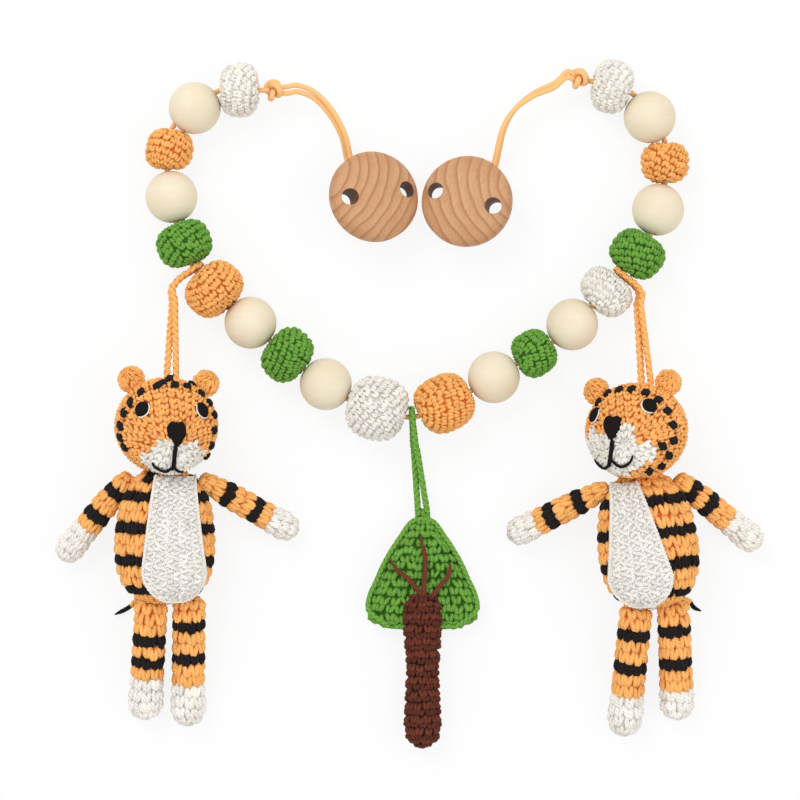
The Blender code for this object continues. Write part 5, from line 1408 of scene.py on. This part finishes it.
def makeBranches():
    level = tree["crownThick"] + 0.3 * mm + tree["branch"] / 2
    for number, pixels in enumerate(branches):
        path = evenly(smoothRoute(fromPixels(pixels, level)), 0.6 * mm)
        radius = tree["branch"] / 2 * np.interp(np.linspace(0, 1, len(path)), (0, 0.7, 1), (1, 0.9, 0.35))
        makePiece(f"treeBranch{number + 1}", [tubeLump(path, radius, yarnColours["brown"], 10)], yarn, "tree")


def makeTree():
    hang = between[tree["bead"]]
    tip = np.array([hang[0] + tree["aside"], hang[1] - tree["crownDrop"], tree["crownThick"] / 2])
    makeCrown(tip)
    makeTrunk(np.array([tip[0], hang[1] - tree["trunkDrop"], trunkWidths[2] / 2 * mm]))
    makeBranches()
    route = yarnLoopRoute(hang, tree["bead"], tip + np.array([0, loops["yarn"] / 4, 0]))
    lumps = braidLumps(route, loops["yarnLook"], yarnColours["green"])
    makePiece("treeLoop", lumps, yarn, "tree", ["tree_loop"])


makeTree()

print("scene: floor and light")


# the floor's half width, height, glow and colour, the room's brightness, and the lamps: place, size and power
studio = {"half": 3.0, "low": -0.2 * mm, "glow": 0.85, "floor": 0.9, "room": 0.80,
          "lamps": {"key": ((-0.45, 0.65, 1.05), 0.7, 5.0), "fill": ((0.7, -0.1, 1.0), 0.9, 2.5)}}
white = (1, 1, 1, 1)


def makeStage():
    # a wide white floor, which the camera sees almost evenly lit, so the shadows stay faint
    floor = Finish("floorWhite", {"Roughness": 1.0, "Base Color": (*[studio["floor"]] * 3, 1)})
    path = floor.node("ShaderNodeLightPath")
    seen = path
    for ray in ("Is Glossy Ray", "Is Transmission Ray"):
        seen = path.math("MAXIMUM", seen, Wire(floor, path.socket.node.outputs[ray]))
    glow = floor.node("ShaderNodeEmission", {}, {"Color": white, "Strength": 1.0})
    mixed = floor.node("ShaderNodeMixShader", {},
                       {0: seen * studio["glow"], 1: Wire(floor, floor.shader.outputs[0]), 2: glow})
    floor.links.new(mixed.socket, floor.nodes["Material Output"].inputs["Surface"])
    mesh = bpy.data.meshes.new("floor")
    half, low = studio["half"], studio["low"]
    mesh.from_pydata([(-half, -half, low), (half, -half, low), (half, half, low), (-half, half, low)], [],
                     [(0, 1, 2, 3)])
    mesh.materials.append(floor.material)
    obj = bpy.data.objects.new("floor", mesh)
    bpy.context.scene.collection.objects.link(obj)


def makeWorld():
    # white where the camera sees it, a little darker as a light
    world = bpy.data.worlds.new("studio")
    world.use_nodes = True
    bpy.context.scene.world = world
    nodes, links = world.node_tree.nodes, world.node_tree.links
    room, seen = nodes["Background"], nodes.new("ShaderNodeBackground")
    room.inputs["Color"].default_value = white
    room.inputs["Strength"].default_value, seen.inputs["Strength"].default_value = studio["room"], 1.0
    path, mixed = nodes.new("ShaderNodeLightPath"), nodes.new("ShaderNodeMixShader")
    for number, output in enumerate((path.outputs["Is Camera Ray"], room.outputs[0], seen.outputs[0])):
        links.new(output, mixed.inputs[number])
    links.new(mixed.outputs[0], nodes["World Output"].inputs["Surface"])


def makeLamp(name, place, size, watts):
    # a round lamp that faces the middle of the table
    data = bpy.data.lights.new(name, "AREA")
    data.shape, data.size, data.energy = "DISK", size, watts
    obj = bpy.data.objects.new(name, data)
    obj.location = place
    aim = Matrix.Identity(3)
    aim.col[2] = unit(np.array(place))
    aim.col[0] = unit(np.cross((0, 1, 0), aim.col[2]))
    aim.col[1] = np.cross(aim.col[2], aim.col[0])
    obj.rotation_euler = aim.to_euler()
    bpy.context.scene.collection.objects.link(obj)


makeStage()
makeWorld()
for name, lamp in studio["lamps"].items():
    makeLamp(f"{name}Lamp", *lamp)
bpy.context.scene.view_settings.view_transform = "Standard"
